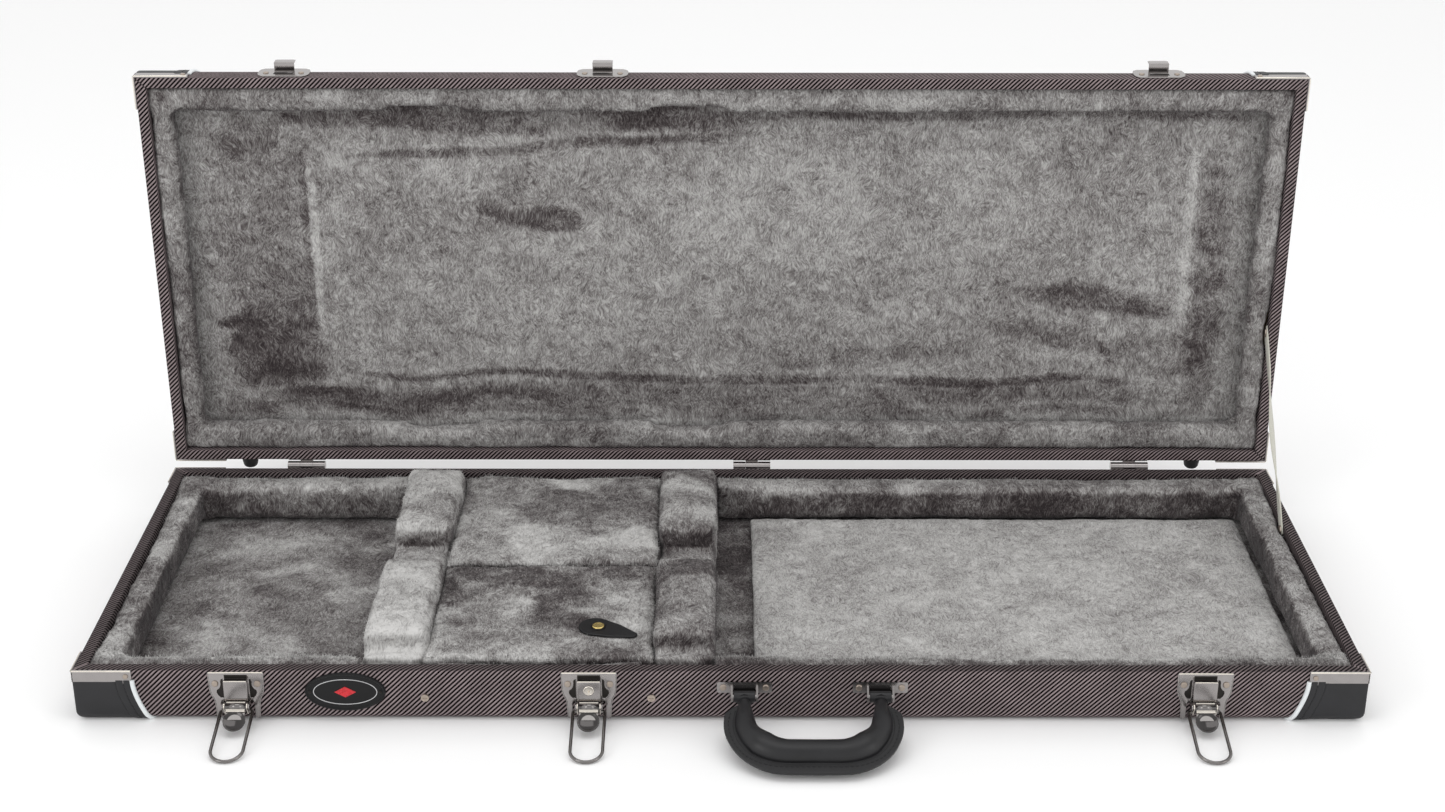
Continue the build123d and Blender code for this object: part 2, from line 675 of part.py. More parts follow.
grip_tilt = radians(HANDLE_TILT)
handle_plane = Plane(
    origin=(HANDLE_X, FRONT - HANDLE_PIVOT[0], HANDLE_PIVOT[1]),
    x_dir=(1, 0, 0),
    z_dir=(0, -sin(grip_tilt), cos(grip_tilt)),
)
half_span = HANDLE_SPACING / 2
with BuildPart() as handle_grip:
    with BuildLine(handle_plane) as grip_line:
        FilletPolyline(
            (-half_span, -LEG_START),
            (-half_span, -GRIP_REACH),
            (half_span, -GRIP_REACH),
            (half_span, -LEG_START),
            radius=GRIP_BEND,
        )
    with BuildSketch(grip_line.line ^ 0):
        Circle(LEG_RADIUS)
    sweep()
    middle = Plane(handle_plane.location * Location((0, -GRIP_REACH, 0), (0, 90, 0)))
    with BuildSketch(middle):
        Circle(GRIP_RADIUS)
    extrude(amount=half_span - GRIP_BEND / 2, both=True)
    fillet(handle_grip.edges().filter_by(GeomType.CIRCLE).group_by(Edge.length)[-1], GRIP_END_ROUND)
    for x in handle_pins_x:
        with BuildSketch(side_plane(x)):
            with Locations(HANDLE_PIVOT):
                Circle(EYE_RADIUS)
        extrude(amount=EYE_HALF, both=True)
        neck = Plane(handle_plane.location * Location((x - HANDLE_X, 0, 0), (90, 0, 0)))
        with BuildSketch(neck):
            Rectangle(2 * NECK_HALF[0], 2 * NECK_HALF[1])
        extrude(amount=NECK_LENGTH)
        with BuildSketch(neck.offset(NECK_LENGTH - 1.0)):
            Ellipse(*NECK_HALF)
        with BuildSketch(neck.offset(LEG_START + 0.5)):
            Circle(LEG_RADIUS)
        loft()
        with BuildSketch(side_plane(x)):
            with Locations(HANDLE_PIVOT):
                Circle(HANDLE_PIN + HANDLE_PIN_PLAY)
        extrude(amount=EYE_HALF + 2, both=True, mode=Mode.SUBTRACT)
save(handle_grip.part, "handle_grip")

with BuildPart() as handle_welt:
    with BuildSketch(handle_plane):
        with Locations((0, -(GRIP_REACH + WELT_OUT + WELT_START) / 2)):
            RectangleRounded(
                2 * (half_span + WELT_OUT), GRIP_REACH + WELT_OUT - WELT_START, GRIP_BEND
            )
        with Locations((0, -GRIP_REACH / 2)):
            Rectangle(2 * half_span, GRIP_REACH, mode=Mode.SUBTRACT)
    extrude(amount=WELT_HALF_THICKNESS, both=True)
    add(handle_grip.part, mode=Mode.SUBTRACT)
save(handle_welt.part, "handle_welt")

# Small hardware on the front
front_rivet_planes = [
    front_plane(x + side * PLATE_RIVET[0], PLATE, PLATE_RIVET[1])
    for x in LATCH_X.values()
    for side in (-1, 1)
]
front_rivet_planes += [
    front_plane(x + side * BRACKET_RIVET, PLATE, sum(BRACKET_Z) / 2)
    for x in handle_pins_x
    for side in (-1, 1)
]
save(rivet_heads(front_rivet_planes, RIVET_RADIUS, RIVET_RISE), "front_rivets")

BADGE_Z = 28.0
BADGE_THICKNESS = 2.0
BADGE_HALF = (33.5, 18.0)
BADGE_ROUND = 1.2
BADGE_RIVET_X = 29.0
BADGE_RIVET_RADIUS = 1.3
BADGE_RIVET_RISE = 0.5
with BuildPart() as badge:
    with BuildSketch(front_plane(BADGE_X, 0, BADGE_Z)):
        Ellipse(*BADGE_HALF)
    extrude(amount=BADGE_THICKNESS)
    fillet(badge.faces().sort_by(Axis.Y)[0].edges(), BADGE_ROUND)
save(badge.part, "badge")

badge_rivet_planes = [
    front_plane(BADGE_X + side * BADGE_RIVET_X, BADGE_THICKNESS, BADGE_Z) for side in (-1, 1)
]
save(rivet_heads(badge_rivet_planes, BADGE_RIVET_RADIUS, BADGE_RIVET_RISE), "badge_rivets")

SCREW_X = (-243.0, -57.0)
SCREW_Z = 22.0
SCREW_RADIUS = 3.3
SCREW_RISE = 1.4
CROSS = (3.6, 0.8)
with BuildPart() as front_screws:
    for x in SCREW_X:
        with BuildSketch(front_plane(x, 0, SCREW_Z)):
            Circle(SCREW_RADIUS)
        extrude(amount=SCREW_RISE)
        with BuildSketch(front_plane(x, SCREW_RISE / 2, SCREW_Z)):
            Rectangle(CROSS[0], CROSS[1])
            Rectangle(CROSS[1], CROSS[0])
        extrude(amount=SCREW_RISE, mode=Mode.SUBTRACT)
save(front_screws.part, "front_screws")

# Lid hinges: three butt hinges with three knuckles each
KNUCKLE = 4.2
HINGE_PIN = 1.6
LEAF = 1.6
HINGE_HALF = 18.0
LEAF_REACH = 24.0
LEAF_START = 3.0
LEAF_RIVET_X = 11.0
LEAF_RIVET_IN = 4.0
LEAF_RIVET_RADIUS = 2.5
WEB_RISE = 2.6
WEB_THICKNESS = 3.2
knuckle_width = 2 * HINGE_HALF / 3


def hinge_leaves(frame, up, spans, bore):
    """Three leaves on one half. Up is the side of the hinge line that they lie on."""
    with BuildPart() as leaves:
        for x in HINGE_X:
            leaf_z = BASE_HEIGHT + up * (LEAF_REACH / 2 + LEAF_START)
            with BuildSketch(frame(rear_plane(x, 0, leaf_z))):
                Rectangle(2 * HINGE_HALF, LEAF_REACH)
            extrude(amount=LEAF)
            for start, end in spans:
                across = Plane(origin=(x + start, HINGE_Y, BASE_HEIGHT), x_dir=(0, 1, 0), z_dir=(1, 0, 0))
                with BuildSketch(frame(across)):
                    Circle(KNUCKLE)
                    with Locations((-HINGE_SETBACK / 2, up * WEB_RISE)):
                        Rectangle(HINGE_SETBACK, WEB_THICKNESS)
                    with Locations((-HINGE_SETBACK + LEAF / 2, up * (LEAF_START + 1))):
                        Rectangle(LEAF, LEAF_START + 1)
                    Circle(bore, mode=Mode.SUBTRACT)
                extrude(amount=end - start)
    return leaves.part


side_play = 0.15
outer_spans = (
    (-HINGE_HALF, -knuckle_width / 2 - side_play),
    (knuckle_width / 2 + side_play, HINGE_HALF),
)
middle_span = ((-knuckle_width / 2, knuckle_width / 2),)
save(hinge_leaves(lambda plane: plane, -1, outer_spans, HINGE_PIN), "hinge_base_leaves")
save(hinge_leaves(opened, 1, middle_span, HINGE_PIN + PIN_PLAY), "hinge_lid_leaves")

with BuildPart() as hinge_pins:
    for x in HINGE_X:
        with BuildSketch(Plane(origin=(x, HINGE_Y, BASE_HEIGHT), x_dir=(0, 1, 0), z_dir=(1, 0, 0))):
            Circle(HINGE_PIN)
        extrude(amount=HINGE_HALF, both=True)
save(hinge_pins.part, "hinge_pins")


def leaf_rivet_planes(up):
    """Two rivets on each leaf, above or below the hinge line."""
    rivet_z = BASE_HEIGHT + up * (LEAF_REACH - LEAF_RIVET_IN)
    return [rear_plane(x + side * LEAF_RIVET_X, LEAF, rivet_z) for x in HINGE_X for side in (-1, 1)]


lid_leaf_rivets = [opened(plane) for plane in leaf_rivet_planes(1)]
save(rivet_heads(leaf_rivet_planes(-1), LEAF_RIVET_RADIUS, SMALL_RIVET_RISE), "hinge_base_rivets")
save(rivet_heads(lid_leaf_rivets, LEAF_RIVET_RADIUS, SMALL_RIVET_RISE), "hinge_lid_rivets")

# Rubber feet on the rear, where the shut case stands upright
FOOT_RADIUS = 8.5
FOOT_HEIGHT = 12.0
FOOT_TAPER = 10
FOOT_ROUND = 4.0
BASE_FOOT_Z = 18.0
LID_FOOT_Z = 11.0
base_foot_planes = [rear_plane(x, 0, BASE_FOOT_Z) for x in FOOT_X]
lid_foot_planes = [opened(rear_plane(x, 0, BASE_HEIGHT + LID_FOOT_Z)) for x in FOOT_X]

with BuildPart() as rubber_foot:
    with BuildSketch():
        Circle(FOOT_RADIUS)
    extrude(amount=FOOT_HEIGHT, taper=FOOT_TAPER)
    fillet(rubber_foot.edges().sort_by(Axis.Z)[-1], FOOT_ROUND)

save(repeated(rubber_foot.part, base_foot_planes), "base_rear_feet")
save(repeated(rubber_foot.part, lid_foot_planes), "lid_rear_feet")

# Stay strap: flat webbing from the base's right wall to the lid's
STRAP_WIDTH = 11.0
STRAP_THICKNESS = 1.2
ANCHOR_RADIUS = 4.6
ANCHOR_THICKNESS = 1.6
STRAP_PLAY = 0.5
BASE_ANCHOR_AHEAD = 125.0
LID_ANCHOR_AHEAD = 140.0
ANCHOR_DEPTH = 6.0
strap_x = INNER_X - STRAP_PLAY - STRAP_THICKNESS


def wall_plane(y, z):
    """On the strap's inner face at the right wall, facing the middle of the case."""
    return Plane(origin=(strap_x, y, z), x_dir=(0, 1, 0), z_dir=(-1, 0, 0))


base_anchor_plane = wall_plane(HINGE_Y - BASE_ANCHOR_AHEAD, BASE_HEIGHT - ANCHOR_DEPTH)
lid_anchor_plane = opened(wall_plane(HINGE_Y - LID_ANCHOR_AHEAD, BASE_HEIGHT + ANCHOR_DEPTH))
strap_start = base_anchor_plane.origin
strap_end = lid_anchor_plane.origin
strap_run = strap_end - strap_start
strap_plane = Plane(origin=(strap_start + strap_end) / 2, x_dir=strap_run, z_dir=(1, 0, 0))
with BuildPart() as stay_strap:
    with BuildSketch(strap_plane):
        SlotCenterToCenter(strap_run.length, STRAP_WIDTH)
    extrude(amount=STRAP_THICKNESS)
save(stay_strap.part, "stay_strap")
save(rivet_heads([base_anchor_plane], ANCHOR_RADIUS, ANCHOR_THICKNESS), "base_strap_anchor")
save(rivet_heads([lid_anchor_plane], ANCHOR_RADIUS, ANCHOR_THICKNESS), "lid_strap_anchor")
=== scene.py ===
import itertools
import json
import math

import bmesh
import bpy
import numpy as np
from mathutils import Matrix, Vector


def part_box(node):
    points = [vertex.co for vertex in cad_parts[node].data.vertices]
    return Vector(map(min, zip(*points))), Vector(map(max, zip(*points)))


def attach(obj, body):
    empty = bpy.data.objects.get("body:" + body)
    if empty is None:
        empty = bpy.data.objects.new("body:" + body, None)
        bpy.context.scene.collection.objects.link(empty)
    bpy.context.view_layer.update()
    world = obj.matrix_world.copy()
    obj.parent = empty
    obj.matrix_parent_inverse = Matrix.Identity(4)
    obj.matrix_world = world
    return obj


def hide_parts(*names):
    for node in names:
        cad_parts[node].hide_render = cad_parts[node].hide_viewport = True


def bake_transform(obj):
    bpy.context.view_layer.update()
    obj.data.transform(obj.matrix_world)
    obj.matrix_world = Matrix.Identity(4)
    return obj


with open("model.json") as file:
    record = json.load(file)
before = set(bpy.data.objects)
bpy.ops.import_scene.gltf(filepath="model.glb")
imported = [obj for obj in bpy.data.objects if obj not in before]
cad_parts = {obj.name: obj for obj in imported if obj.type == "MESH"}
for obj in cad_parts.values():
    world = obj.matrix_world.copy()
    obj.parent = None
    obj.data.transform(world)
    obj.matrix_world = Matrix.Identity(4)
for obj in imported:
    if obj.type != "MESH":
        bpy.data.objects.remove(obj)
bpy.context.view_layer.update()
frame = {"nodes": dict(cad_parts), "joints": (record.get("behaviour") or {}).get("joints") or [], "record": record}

# A rectangular guitar case standing open. Metres, in the CAD's frame.
# Lengths are written in millimetres where they are named, times MM.
MM = 0.001
rng = np.random.default_rng(11)

# Places read from the CAD, and the heights, corner radii and wall of the two halves
cover_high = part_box("base_side_cover")[1]
joints = {joint["name"]: joint for joint in frame["joints"]}
HALF_LENGTH = cover_high.x
HALF_DEPTH = cover_high.y
BASE_HEIGHT = 48 * MM
LID_HEIGHT = 36 * MM
BASE_RADIUS = 9 * MM
LID_RADIUS = 20 * MM
WALL = 10 * MM
hinge = Vector(joints["lid_hinge"]["pos_m"])
OPEN = math.radians(-joints["lid_hinge"]["range_deg"][0])
lid_open = Matrix.Translation(hinge) @ Matrix.Rotation(-OPEN, 4, "X") @ Matrix.Translation(-hinge)
LATCH_X = {side: joints[f"lever_{side}_swing"]["pos_m"][0] for side in ("left", "middle", "right")}


def new_object(name, data):
    """An object that is in the scene."""
    obj = bpy.data.objects.new(name, data)
    bpy.context.scene.collection.objects.link(obj)
    return obj


# Camera

camera_data = bpy.data.cameras.new("camera")
camera_data.lens = 56.2
camera_data.sensor_width = 36.0
camera = new_object("camera", camera_data)
camera.location = (0.0, -1.7925, 0.9898)
camera.rotation_euler = (math.radians(66.2), math.radians(-0.09), 0.0)
bpy.context.scene.camera = camera


# Noise and mesh helpers


def lattice(cell, seed):
    """A fixed value from -1 to 1 for each whole-number cell."""
    mixed = cell[:, 0] * 374761393 + cell[:, 1] * 668265263 + cell[:, 2] * 1274126177 + seed * 974711
    mixed = (mixed ^ (mixed >> 13)) * 1103515245
    mixed = (mixed ^ (mixed >> 16)) & 0xFFFFFF
    return mixed / float(0x7FFFFF) - 1.0


def grain(points, size, seed=0):
    """Smooth noise from -1 to 1 with features of this size; size may differ along x, y and z."""
    spots = np.asarray(points) / np.asarray(size) + 137.31
    cell = np.floor(spots).astype(np.int64)
    part = spots - cell
    part = part * part * (3 - 2 * part)
    total = np.zeros(len(spots))
    for corner in np.ndindex(2, 2, 2):
        near = np.abs(1 - np.array(corner) - part)
        total += near[:, 0] * near[:, 1] * near[:, 2] * lattice(cell + np.array(corner), seed)
    return total


def ramp(value, low, high):
    """Eases from 0 at low to 1 at high."""
    t = np.clip((value - low) / (high - low), 0, 1)
    return t * t * (3 - 2 * t)


def place(obj, body, replaced=()):
    """Puts a finished piece on its body and the CAD nodes that it stands for."""
    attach(obj, body)
    if replaced:
        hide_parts(*replaced)
    return obj


def build(name, points, faces, material, smooth=True):
    """A mesh object from points in metres."""
    mesh = bpy.data.meshes.new(name)
    mesh.from_pydata([tuple(p) for p in np.asarray(points, float)], [], [tuple(f) for f in faces])
    mesh.validate()
    mesh.materials.append(material)
    if smooth:
        mesh.shade_smooth()
    return new_object(name, mesh)


def outward(obj, merge=0.0):
    """Makes every face look outwards, after joining the points that are closer than merge."""
    shape = bmesh.new()
    shape.from_mesh(obj.data)
    if merge:
        bmesh.ops.remove_doubles(shape, verts=shape.verts, dist=merge)
    bmesh.ops.recalc_face_normals(shape, faces=shape.faces)
    shape.to_mesh(obj.data)
    shape.free()
    return obj


def evaluated_mesh(obj):
    """The plain mesh that a curve or an object's modifiers give."""
    bpy.context.view_layer.update()
    graph = bpy.context.evaluated_depsgraph_get()
    return bpy.data.meshes.new_from_object(obj.evaluated_get(graph), depsgraph=graph)


def bake_modifiers(obj):
    """Turns the modifiers into plain mesh."""
    mesh = evaluated_mesh(obj)
    obj.modifiers.clear()
    old = obj.data
    obj.data = mesh
    mesh.name = old.name
    bpy.data.meshes.remove(old)
    return obj


def weigh_normals(obj):
    """Keeps flat faces flat beside their rounded edges."""
    weighted = obj.modifiers.new("weighted", "WEIGHTED_NORMAL")
    weighted.keep_sharp = True
    return obj


def thicken(obj, thickness):
    """Gives a sheet its thickness, inwards from its outer face."""
    thick = obj.modifiers.new("thick", "SOLIDIFY")
    thick.thickness = thickness
    thick.offset = -1.0
    bake_modifiers(obj)


def read(items, field, width=3):
    """One field of every vertex, face or value of a mesh."""
    flat = np.empty(len(items) * width)
    items.foreach_get(field, flat)
    return flat.reshape(-1, 3) if width == 3 else flat


def coordinates(mesh):
    return read(mesh.vertices, "co")


def normals_of(mesh):
    return read(mesh.vertices, "normal")


def set_coordinates(mesh, points):
    mesh.vertices.foreach_set("co", np.asarray(points, np.float32).ravel())
    mesh.update()


def set_value(mesh, name, values):
    attribute = mesh.attributes.get(name) or mesh.attributes.new(name, "FLOAT", "POINT")
    attribute.data.foreach_set("value", np.asarray(values, np.float32))


def set_texture(mesh, texture):
    """The flat place of every point in the cloth's pattern, in metres."""
    layer = mesh.uv_layers.new(name="flat")
    for loop in mesh.loops:
        layer.data[loop.index].uv = texture[loop.vertex_index]


def moved(points, matrix, body):
    """Points turned by a matrix if they are on the lid."""
    points = np.asarray(points, float)
    if body != "lid":
        return points
    matrix = np.array(matrix)
    return points @ matrix[:3, :3].T + matrix[:3, 3]


def opened(points, body):
    """Points of the shut case, where the open lid has them."""
    return moved(points, lid_open, body)


def shut(points, body):
    """Points as they are when the case is shut, so that the lid's noise doesn't depend on its angle."""
    return moved(points, lid_open.inverted(), body)


def quads(rows, columns, round_columns=False, round_rows=False):
    """Faces between the points of a grid that are listed row by row."""
    faces = []
    for i in range(rows if round_rows else rows - 1):
        for k in range(columns if round_columns else columns - 1):
            j = (i + 1) % rows
            m = (k + 1) % columns
            faces.append((i * columns + k, i * columns + m, j * columns + m, j * columns + k))
    return faces


def bar_faces(count, ring, closed=False):
    """Faces of a bar with its points listed ring by ring, and its two ends unless it is closed."""
    faces = quads(count, ring, True, closed)
    if not closed:
        faces.append(tuple(range(ring - 1, -1, -1)))
        faces.append(tuple(range((count - 1) * ring, count * ring)))
    return faces


class Pieces:
    """Collects points and faces of many small solids into one mesh."""

    def __init__(self):
        self.points = []
        self.faces = []

    def add(self, points, faces):
        start = len(self.points)
        self.points.extend(tuple(p) for p in points)
        self.faces.extend(tuple(i + start for i in face) for face in faces)

    def finish(self, name, material):
        return outward(build(name, self.points, self.faces, material))


def tube(path, radius, ring=12, flat=1.0, up=(0, 0, 1), closed=False):
    """Points and faces of a round bar along a path. flat squeezes it along up; radius may vary."""
    path = np.asarray(path, float)
    count = len(path)
    radius = np.broadcast_to(np.asarray(radius, float), (count,))
    ahead = np.roll(path, -1, 0) - np.roll(path, 1, 0)
    if not closed:
        ahead[0] = path[1] - path[0]
        ahead[-1] = path[-1] - path[-2]
    ahead /= np.linalg.norm(ahead, axis=1)[:, None]
    up = np.asarray(up, float)
    side = np.cross(ahead, up)
    weak = np.linalg.norm(side, axis=1) < 1e-6
    side[weak] = np.cross(ahead[weak], (0.31, 0.52, 0.79))
    side /= np.linalg.norm(side, axis=1)[:, None]
    lift = np.cross(side, ahead)
    angles = np.linspace(0, 2 * math.pi, ring, endpoint=False)
    points = []
    for i in range(count):
        for angle in angles:
            across = side[i] * math.cos(angle) + lift[i] * math.sin(angle) * flat
            points.append(path[i] + across * radius[i])
    return points, bar_faces(count, ring, closed)


def bar(name, material, path, radius, **shape):
    """A tube on its own."""
    return outward(build(name, *tube(path, radius, **shape), material))


def stitches(path, pitch, length, radius):
    """Thread dashes along a path: points and faces of one short bar for each stitch."""
    path = np.asarray(path, float)
    runs = np.linalg.norm(np.diff(path, axis=0), axis=1)
    reach = np.concatenate(([0], np.cumsum(runs)))
    found = Pieces()
    for start in np.arange(pitch / 2, reach[-1] - length, pitch):
        marks = np.linspace(start, start + length, 5)
        dash = np.stack([np.interp(marks, reach, path[:, k]) for k in range(3)], axis=1)
        swell = radius * np.array((0.45, 0.9, 1.0, 0.9, 0.45))
        found.add(*tube(dash, swell, ring=6, up=(0.3, 0.2, 0.93)))
    return found.points, found.faces


def cut_plate(name, loops, thickness, edge, to_world, material):
    """A flat plate from outlines in millimetres, holes after the outline, its edges rounded.

    The outline lies in local x and y; the plate goes from local z 0 to its thickness.
    """
    curve = bpy.data.curves.new(name, "CURVE")
    curve.dimensions = "2D"
    curve.fill_mode = "BOTH"
    curve.extrude = (thickness / 2 - edge) * MM
    curve.bevel_depth = edge * MM
    curve.bevel_resolution = 2
    curve.offset = -edge * MM
    for loop in loops:
        spline = curve.splines.new("POLY")
        spline.points.add(len(loop) - 1)
        for point, (x, y) in zip(spline.points, loop):
            point.co = (x * MM, y * MM, 0, 1)
        spline.use_cyclic_u = True
    drawn = new_object(name, curve)
    mesh = evaluated_mesh(drawn)
    bpy.data.objects.remove(drawn)
    mesh.transform(to_world @ Matrix.Translation((0, 0, thickness / 2 * MM)))
    mesh.materials.clear()
    mesh.materials.append(material)
    obj = outward(new_object(name, mesh), 0.01 * MM)
    mesh.shade_smooth()
    return weigh_normals(obj)


def arc(centre, radius, start, end, count=8):
    """Points of an arc, in degrees."""
    angles = np.radians(np.linspace(start, end, count))
    return [(centre[0] + radius * math.cos(a), centre[1] + radius * math.sin(a)) for a in angles]


def mirrored(right):
    """A closed outline from its right half, listed from the top down."""
    return right + [(-x, y) for x, y in reversed(right)]


def basis(origin, x_axis, y_axis, z_axis=None):
    """Local axes of a drawing, placed in the case's frame. The origin is in metres."""
    x_axis = Vector(x_axis).normalized()
    y_axis = Vector(y_axis).normalized()
    z_axis = z_axis or x_axis.cross(y_axis)
    matrix = Matrix((x_axis, y_axis, z_axis)).transposed().to_4x4()
    return Matrix.Translation(Vector(origin)) @ matrix


def joined(name, pieces):
    """One object from several."""
    for piece in pieces:
        bake_modifiers(piece)
    shape = bmesh.new()
    materials = []
    for piece in pieces:
        part = piece.data
        offset = {}
        for i, material in enumerate(part.materials):
            if material not in materials:
                materials.append(material)
            offset[i] = materials.index(material)
        for polygon in part.polygons:
            polygon.material_index = offset[polygon.material_index]
        shape.from_mesh(part)
        bpy.data.objects.remove(piece)
    mesh = bpy.data.meshes.new(name)
    shape.to_mesh(mesh)
    shape.free()
    for material in materials:
        mesh.materials.append(material)
    return weigh_normals(new_object(name, mesh))


# Materials


class Shader:
    """A material with a Principled shader, and short ways to add nodes to it."""

    def __init__(self, name, **values):
        self.material = bpy.data.materials.new(name)
        self.material.use_nodes = True
        self.tree = self.material.node_tree
        self.main = self.tree.nodes["Principled BSDF"]
        for key, value in values.items():
            self.main.inputs[key.replace("_", " ")].default_value = value

    def node(self, kind, *links, **settings):
        made = self.tree.nodes.new(kind)
        for key, value in settings.items():
            setattr(made, key, value)
        for index, link in links:
            self.put(link, made.inputs[index])
        return made

    def put(self, value, socket):
        if isinstance(value, bpy.types.NodeSocket):
            self.tree.links.new(value, socket)
        else:
            socket.default_value = value

    def math(self, operation, a, b=0.0):
        return self.node("ShaderNodeMath", (0, a), (1, b), operation=operation).outputs[0]

    def plus(self, a, b):
        return self.math("ADD", a, b)

    def times(self, a, b):
        return self.math("MULTIPLY", a, b)

    def vector(self, operation, a, b, output=0):
        return self.node("ShaderNodeVectorMath", (0, a), (1, b), operation=operation).outputs[output]

    def value(self, name):
        """A value that every point of the mesh carries."""
        return self.node("ShaderNodeAttribute", attribute_name=name).outputs["Fac"]

    def place(self, source="Object"):
        return self.node("ShaderNodeTexCoord").outputs[source]

    def stretch(self, vector, scale):
        return self.node("ShaderNodeMapping", (0, vector), (3, scale)).outputs[0]

    def noise(self, vector, scale, detail=2.0, roughness=0.5):
        made = self.node("ShaderNodeTexNoise", ("Vector", vector), ("Scale", scale), ("Detail", detail))
        made.inputs["Roughness"].default_value = roughness
        return made.outputs["Fac"]

    def between(self, value, low, high, to_low=0.0, to_high=1.0):
        made = self.node("ShaderNodeMapRange", (0, value), (1, low), (2, high), (3, to_low), (4, to_high))
        made.interpolation_type = "SMOOTHSTEP"
        return made.outputs[0]

    def colours(self, value, *stops):
        made = self.node("ShaderNodeValToRGB", (0, value))
        points = made.color_ramp.elements
        while len(points) < len(stops):
            points.new(0.5)
        for point, (position, colour) in zip(points, stops):
            point.position = position
            point.color = (*colour, 1)
        return made.outputs[0]

    def blend(self, value, a, b, mode="MIX"):
        made = self.node("ShaderNodeMix", data_type="RGBA", blend_type=mode)
        self.put(value, made.inputs["Factor"])
        for socket, colour in ((made.inputs[6], a), (made.inputs[7], b)):
            self.put(colour if isinstance(colour, bpy.types.NodeSocket) else (*colour, 1), socket)
        return made.outputs[2]

    def bump(self, height, distance, strength=1.0):
        made = self.node("ShaderNodeBump", ("Height", height), ("Distance", distance))
        made.inputs["Strength"].default_value = strength
        self.tree.links.new(made.outputs[0], self.main.inputs["Normal"])

    def colour(self, value):
        self.tree.links.new(value, self.main.inputs["Base Color"])

    def tint(self, colour, tone):
        """The base colour, lighter or darker by a tone around one."""
        grey = self.node("ShaderNodeCombineXYZ", (0, tone), (1, tone), (2, tone)).outputs[0]
        self.colour(self.blend(1.0, colour, grey, "MULTIPLY"))

    def rough(self, value):
        self.tree.links.new(value, self.main.inputs["Roughness"])


STRIPE = 4.2 * MM
YARN = 0.8 * MM
DARK_YARN = (0.0045, 0.0017, 0.0024)
LIGHT_YARN = (0.315, 0.257, 0.262)


def woven(name, direction=None):
    """Twill of dark and light diagonal stripes, from UVs in metres or along a direction in the frame."""
    shader = Shader(name, Roughness=0.8)
    shader.main.inputs["Specular IOR Level"].default_value = 0.12
    where = shader.place()
    if direction is None:
        split = shader.node("ShaderNodeSeparateXYZ", (0, shader.place("UV")))
        across = shader.math("SUBTRACT", split.outputs[0], split.outputs[1])
        along = shader.plus(split.outputs[0], split.outputs[1])
    else:
        other = (direction[0], -direction[1], -direction[2])
        across, along = [shader.vector("DOT_PRODUCT", where, way, "Value") for way in (direction, other)]
    wobble = shader.times(shader.noise(where, 260.0, 2.0), 0.35 * MM)
    turns = shader.times(shader.plus(across, wobble), 2 * math.pi / STRIPE)
    wave = shader.math("SINE", turns)
    yarn_turns = shader.times(along, 2 * math.pi / YARN)
    yarn = shader.math("SINE", shader.plus(yarn_turns, shader.times(turns, 1.5)))
    edge = shader.plus(wave, shader.times(yarn, 0.22))
    light = shader.between(edge, -0.04, 0.34)
    shade = shader.plus(shader.times(yarn, 0.10), 0.90)
    patchy = shader.between(shader.noise(where, 55.0, 4.0), 0.3, 0.7, 0.86, 1.08)
    shade = shader.times(shade, patchy)
    tone = shader.blend(light, DARK_YARN, LIGHT_YARN)
    seam = shader.value("seam")
    # Painted shade in the valley of each mitre seam, where the seam value nears one.
    crease = shader.between(seam, 0.72, 1.0, 1.0, 0.42)
    shade = shader.times(shade, crease)
    # Painted shade on the base's rim, which faces up to the lamps: the seam value runs below zero there.
    shade = shader.times(shade, shader.between(seam, -1.0, 0.0, 0.52, 1.0))
    shader.tint(tone, shade)
    height = shader.plus(shader.times(light, 0.6), shader.times(yarn, 0.25))
    shader.bump(height, 0.25 * MM, 0.6)
    return shader.material


def plush(name):
    """Deep grey pile: a value on the mesh, holding the pile's brushed patches with painted shade and highlights,
    sets how much light each patch returns.
    """
    shader = Shader(name, Roughness=0.95, Sheen_Weight=0.15, Sheen_Roughness=0.5)
    shader.main.inputs["Specular IOR Level"].default_value = 0.1
    where = shader.place()
    swirl = shader.node("ShaderNodeTexNoise", ("Vector", where), ("Scale", 38.0), ("Detail", 2.0))
    centred = shader.vector("SUBTRACT", swirl.outputs["Color"], (0.5, 0.5, 0.5))
    shifted = shader.vector("MULTIPLY", centred, (22 * MM, 22 * MM, 22 * MM))
    bent = shader.vector("ADD", where, shifted)
    fibre = shader.noise(shader.stretch(bent, (1.0, 0.34, 0.34)), 1050.0, 2.0, 0.6)
    tuft = shader.noise(shader.stretch(bent, (1.0, 0.45, 0.45)), 380.0, 3.0, 0.6)
    clump = shader.noise(bent, 62.0, 3.0, 0.55)
    level = shader.value("nap_and_shade")
    for grain_value, contrast in ((fibre, 1.30), (tuft, 0.85), (clump, 0.35)):
        level = shader.plus(level, shader.times(shader.math("SUBTRACT", grain_value, 0.5), contrast))
    level = shader.times(level, 0.8)
    stops = ((0.0, (0.030, 0.0235, 0.0245)), (0.24, (0.088, 0.076, 0.076)), (0.48, (0.225, 0.214, 0.209)))
    stops += ((0.8, (0.47, 0.462, 0.452)), (1.0, (0.60, 0.592, 0.580)))
    shader.colour(shader.colours(level, *stops))
    height = shader.plus(shader.times(fibre, 0.6), tuft)
    shader.bump(height, 1.6 * MM, 0.8)
    return shader.material


def metal(name, colour, roughness, wear=0.05, scratches=0.0):
    """Plated metal with faint smears and a little wear."""
    shader = Shader(name, Metallic=1.0)
    where = shader.place()
    smear = shader.noise(where, 140.0, 3.0)
    speck = shader.noise(where, 900.0, 2.0)
    tone = shader.between(smear, 0.3, 0.7, 0.96, 1.03)
    shader.tint(colour, tone)
    shader.rough(shader.between(smear, 0.35, 0.75, roughness, roughness + wear))
    shader.bump(speck, 0.02 * MM, 0.12 + scratches)
    return shader.material


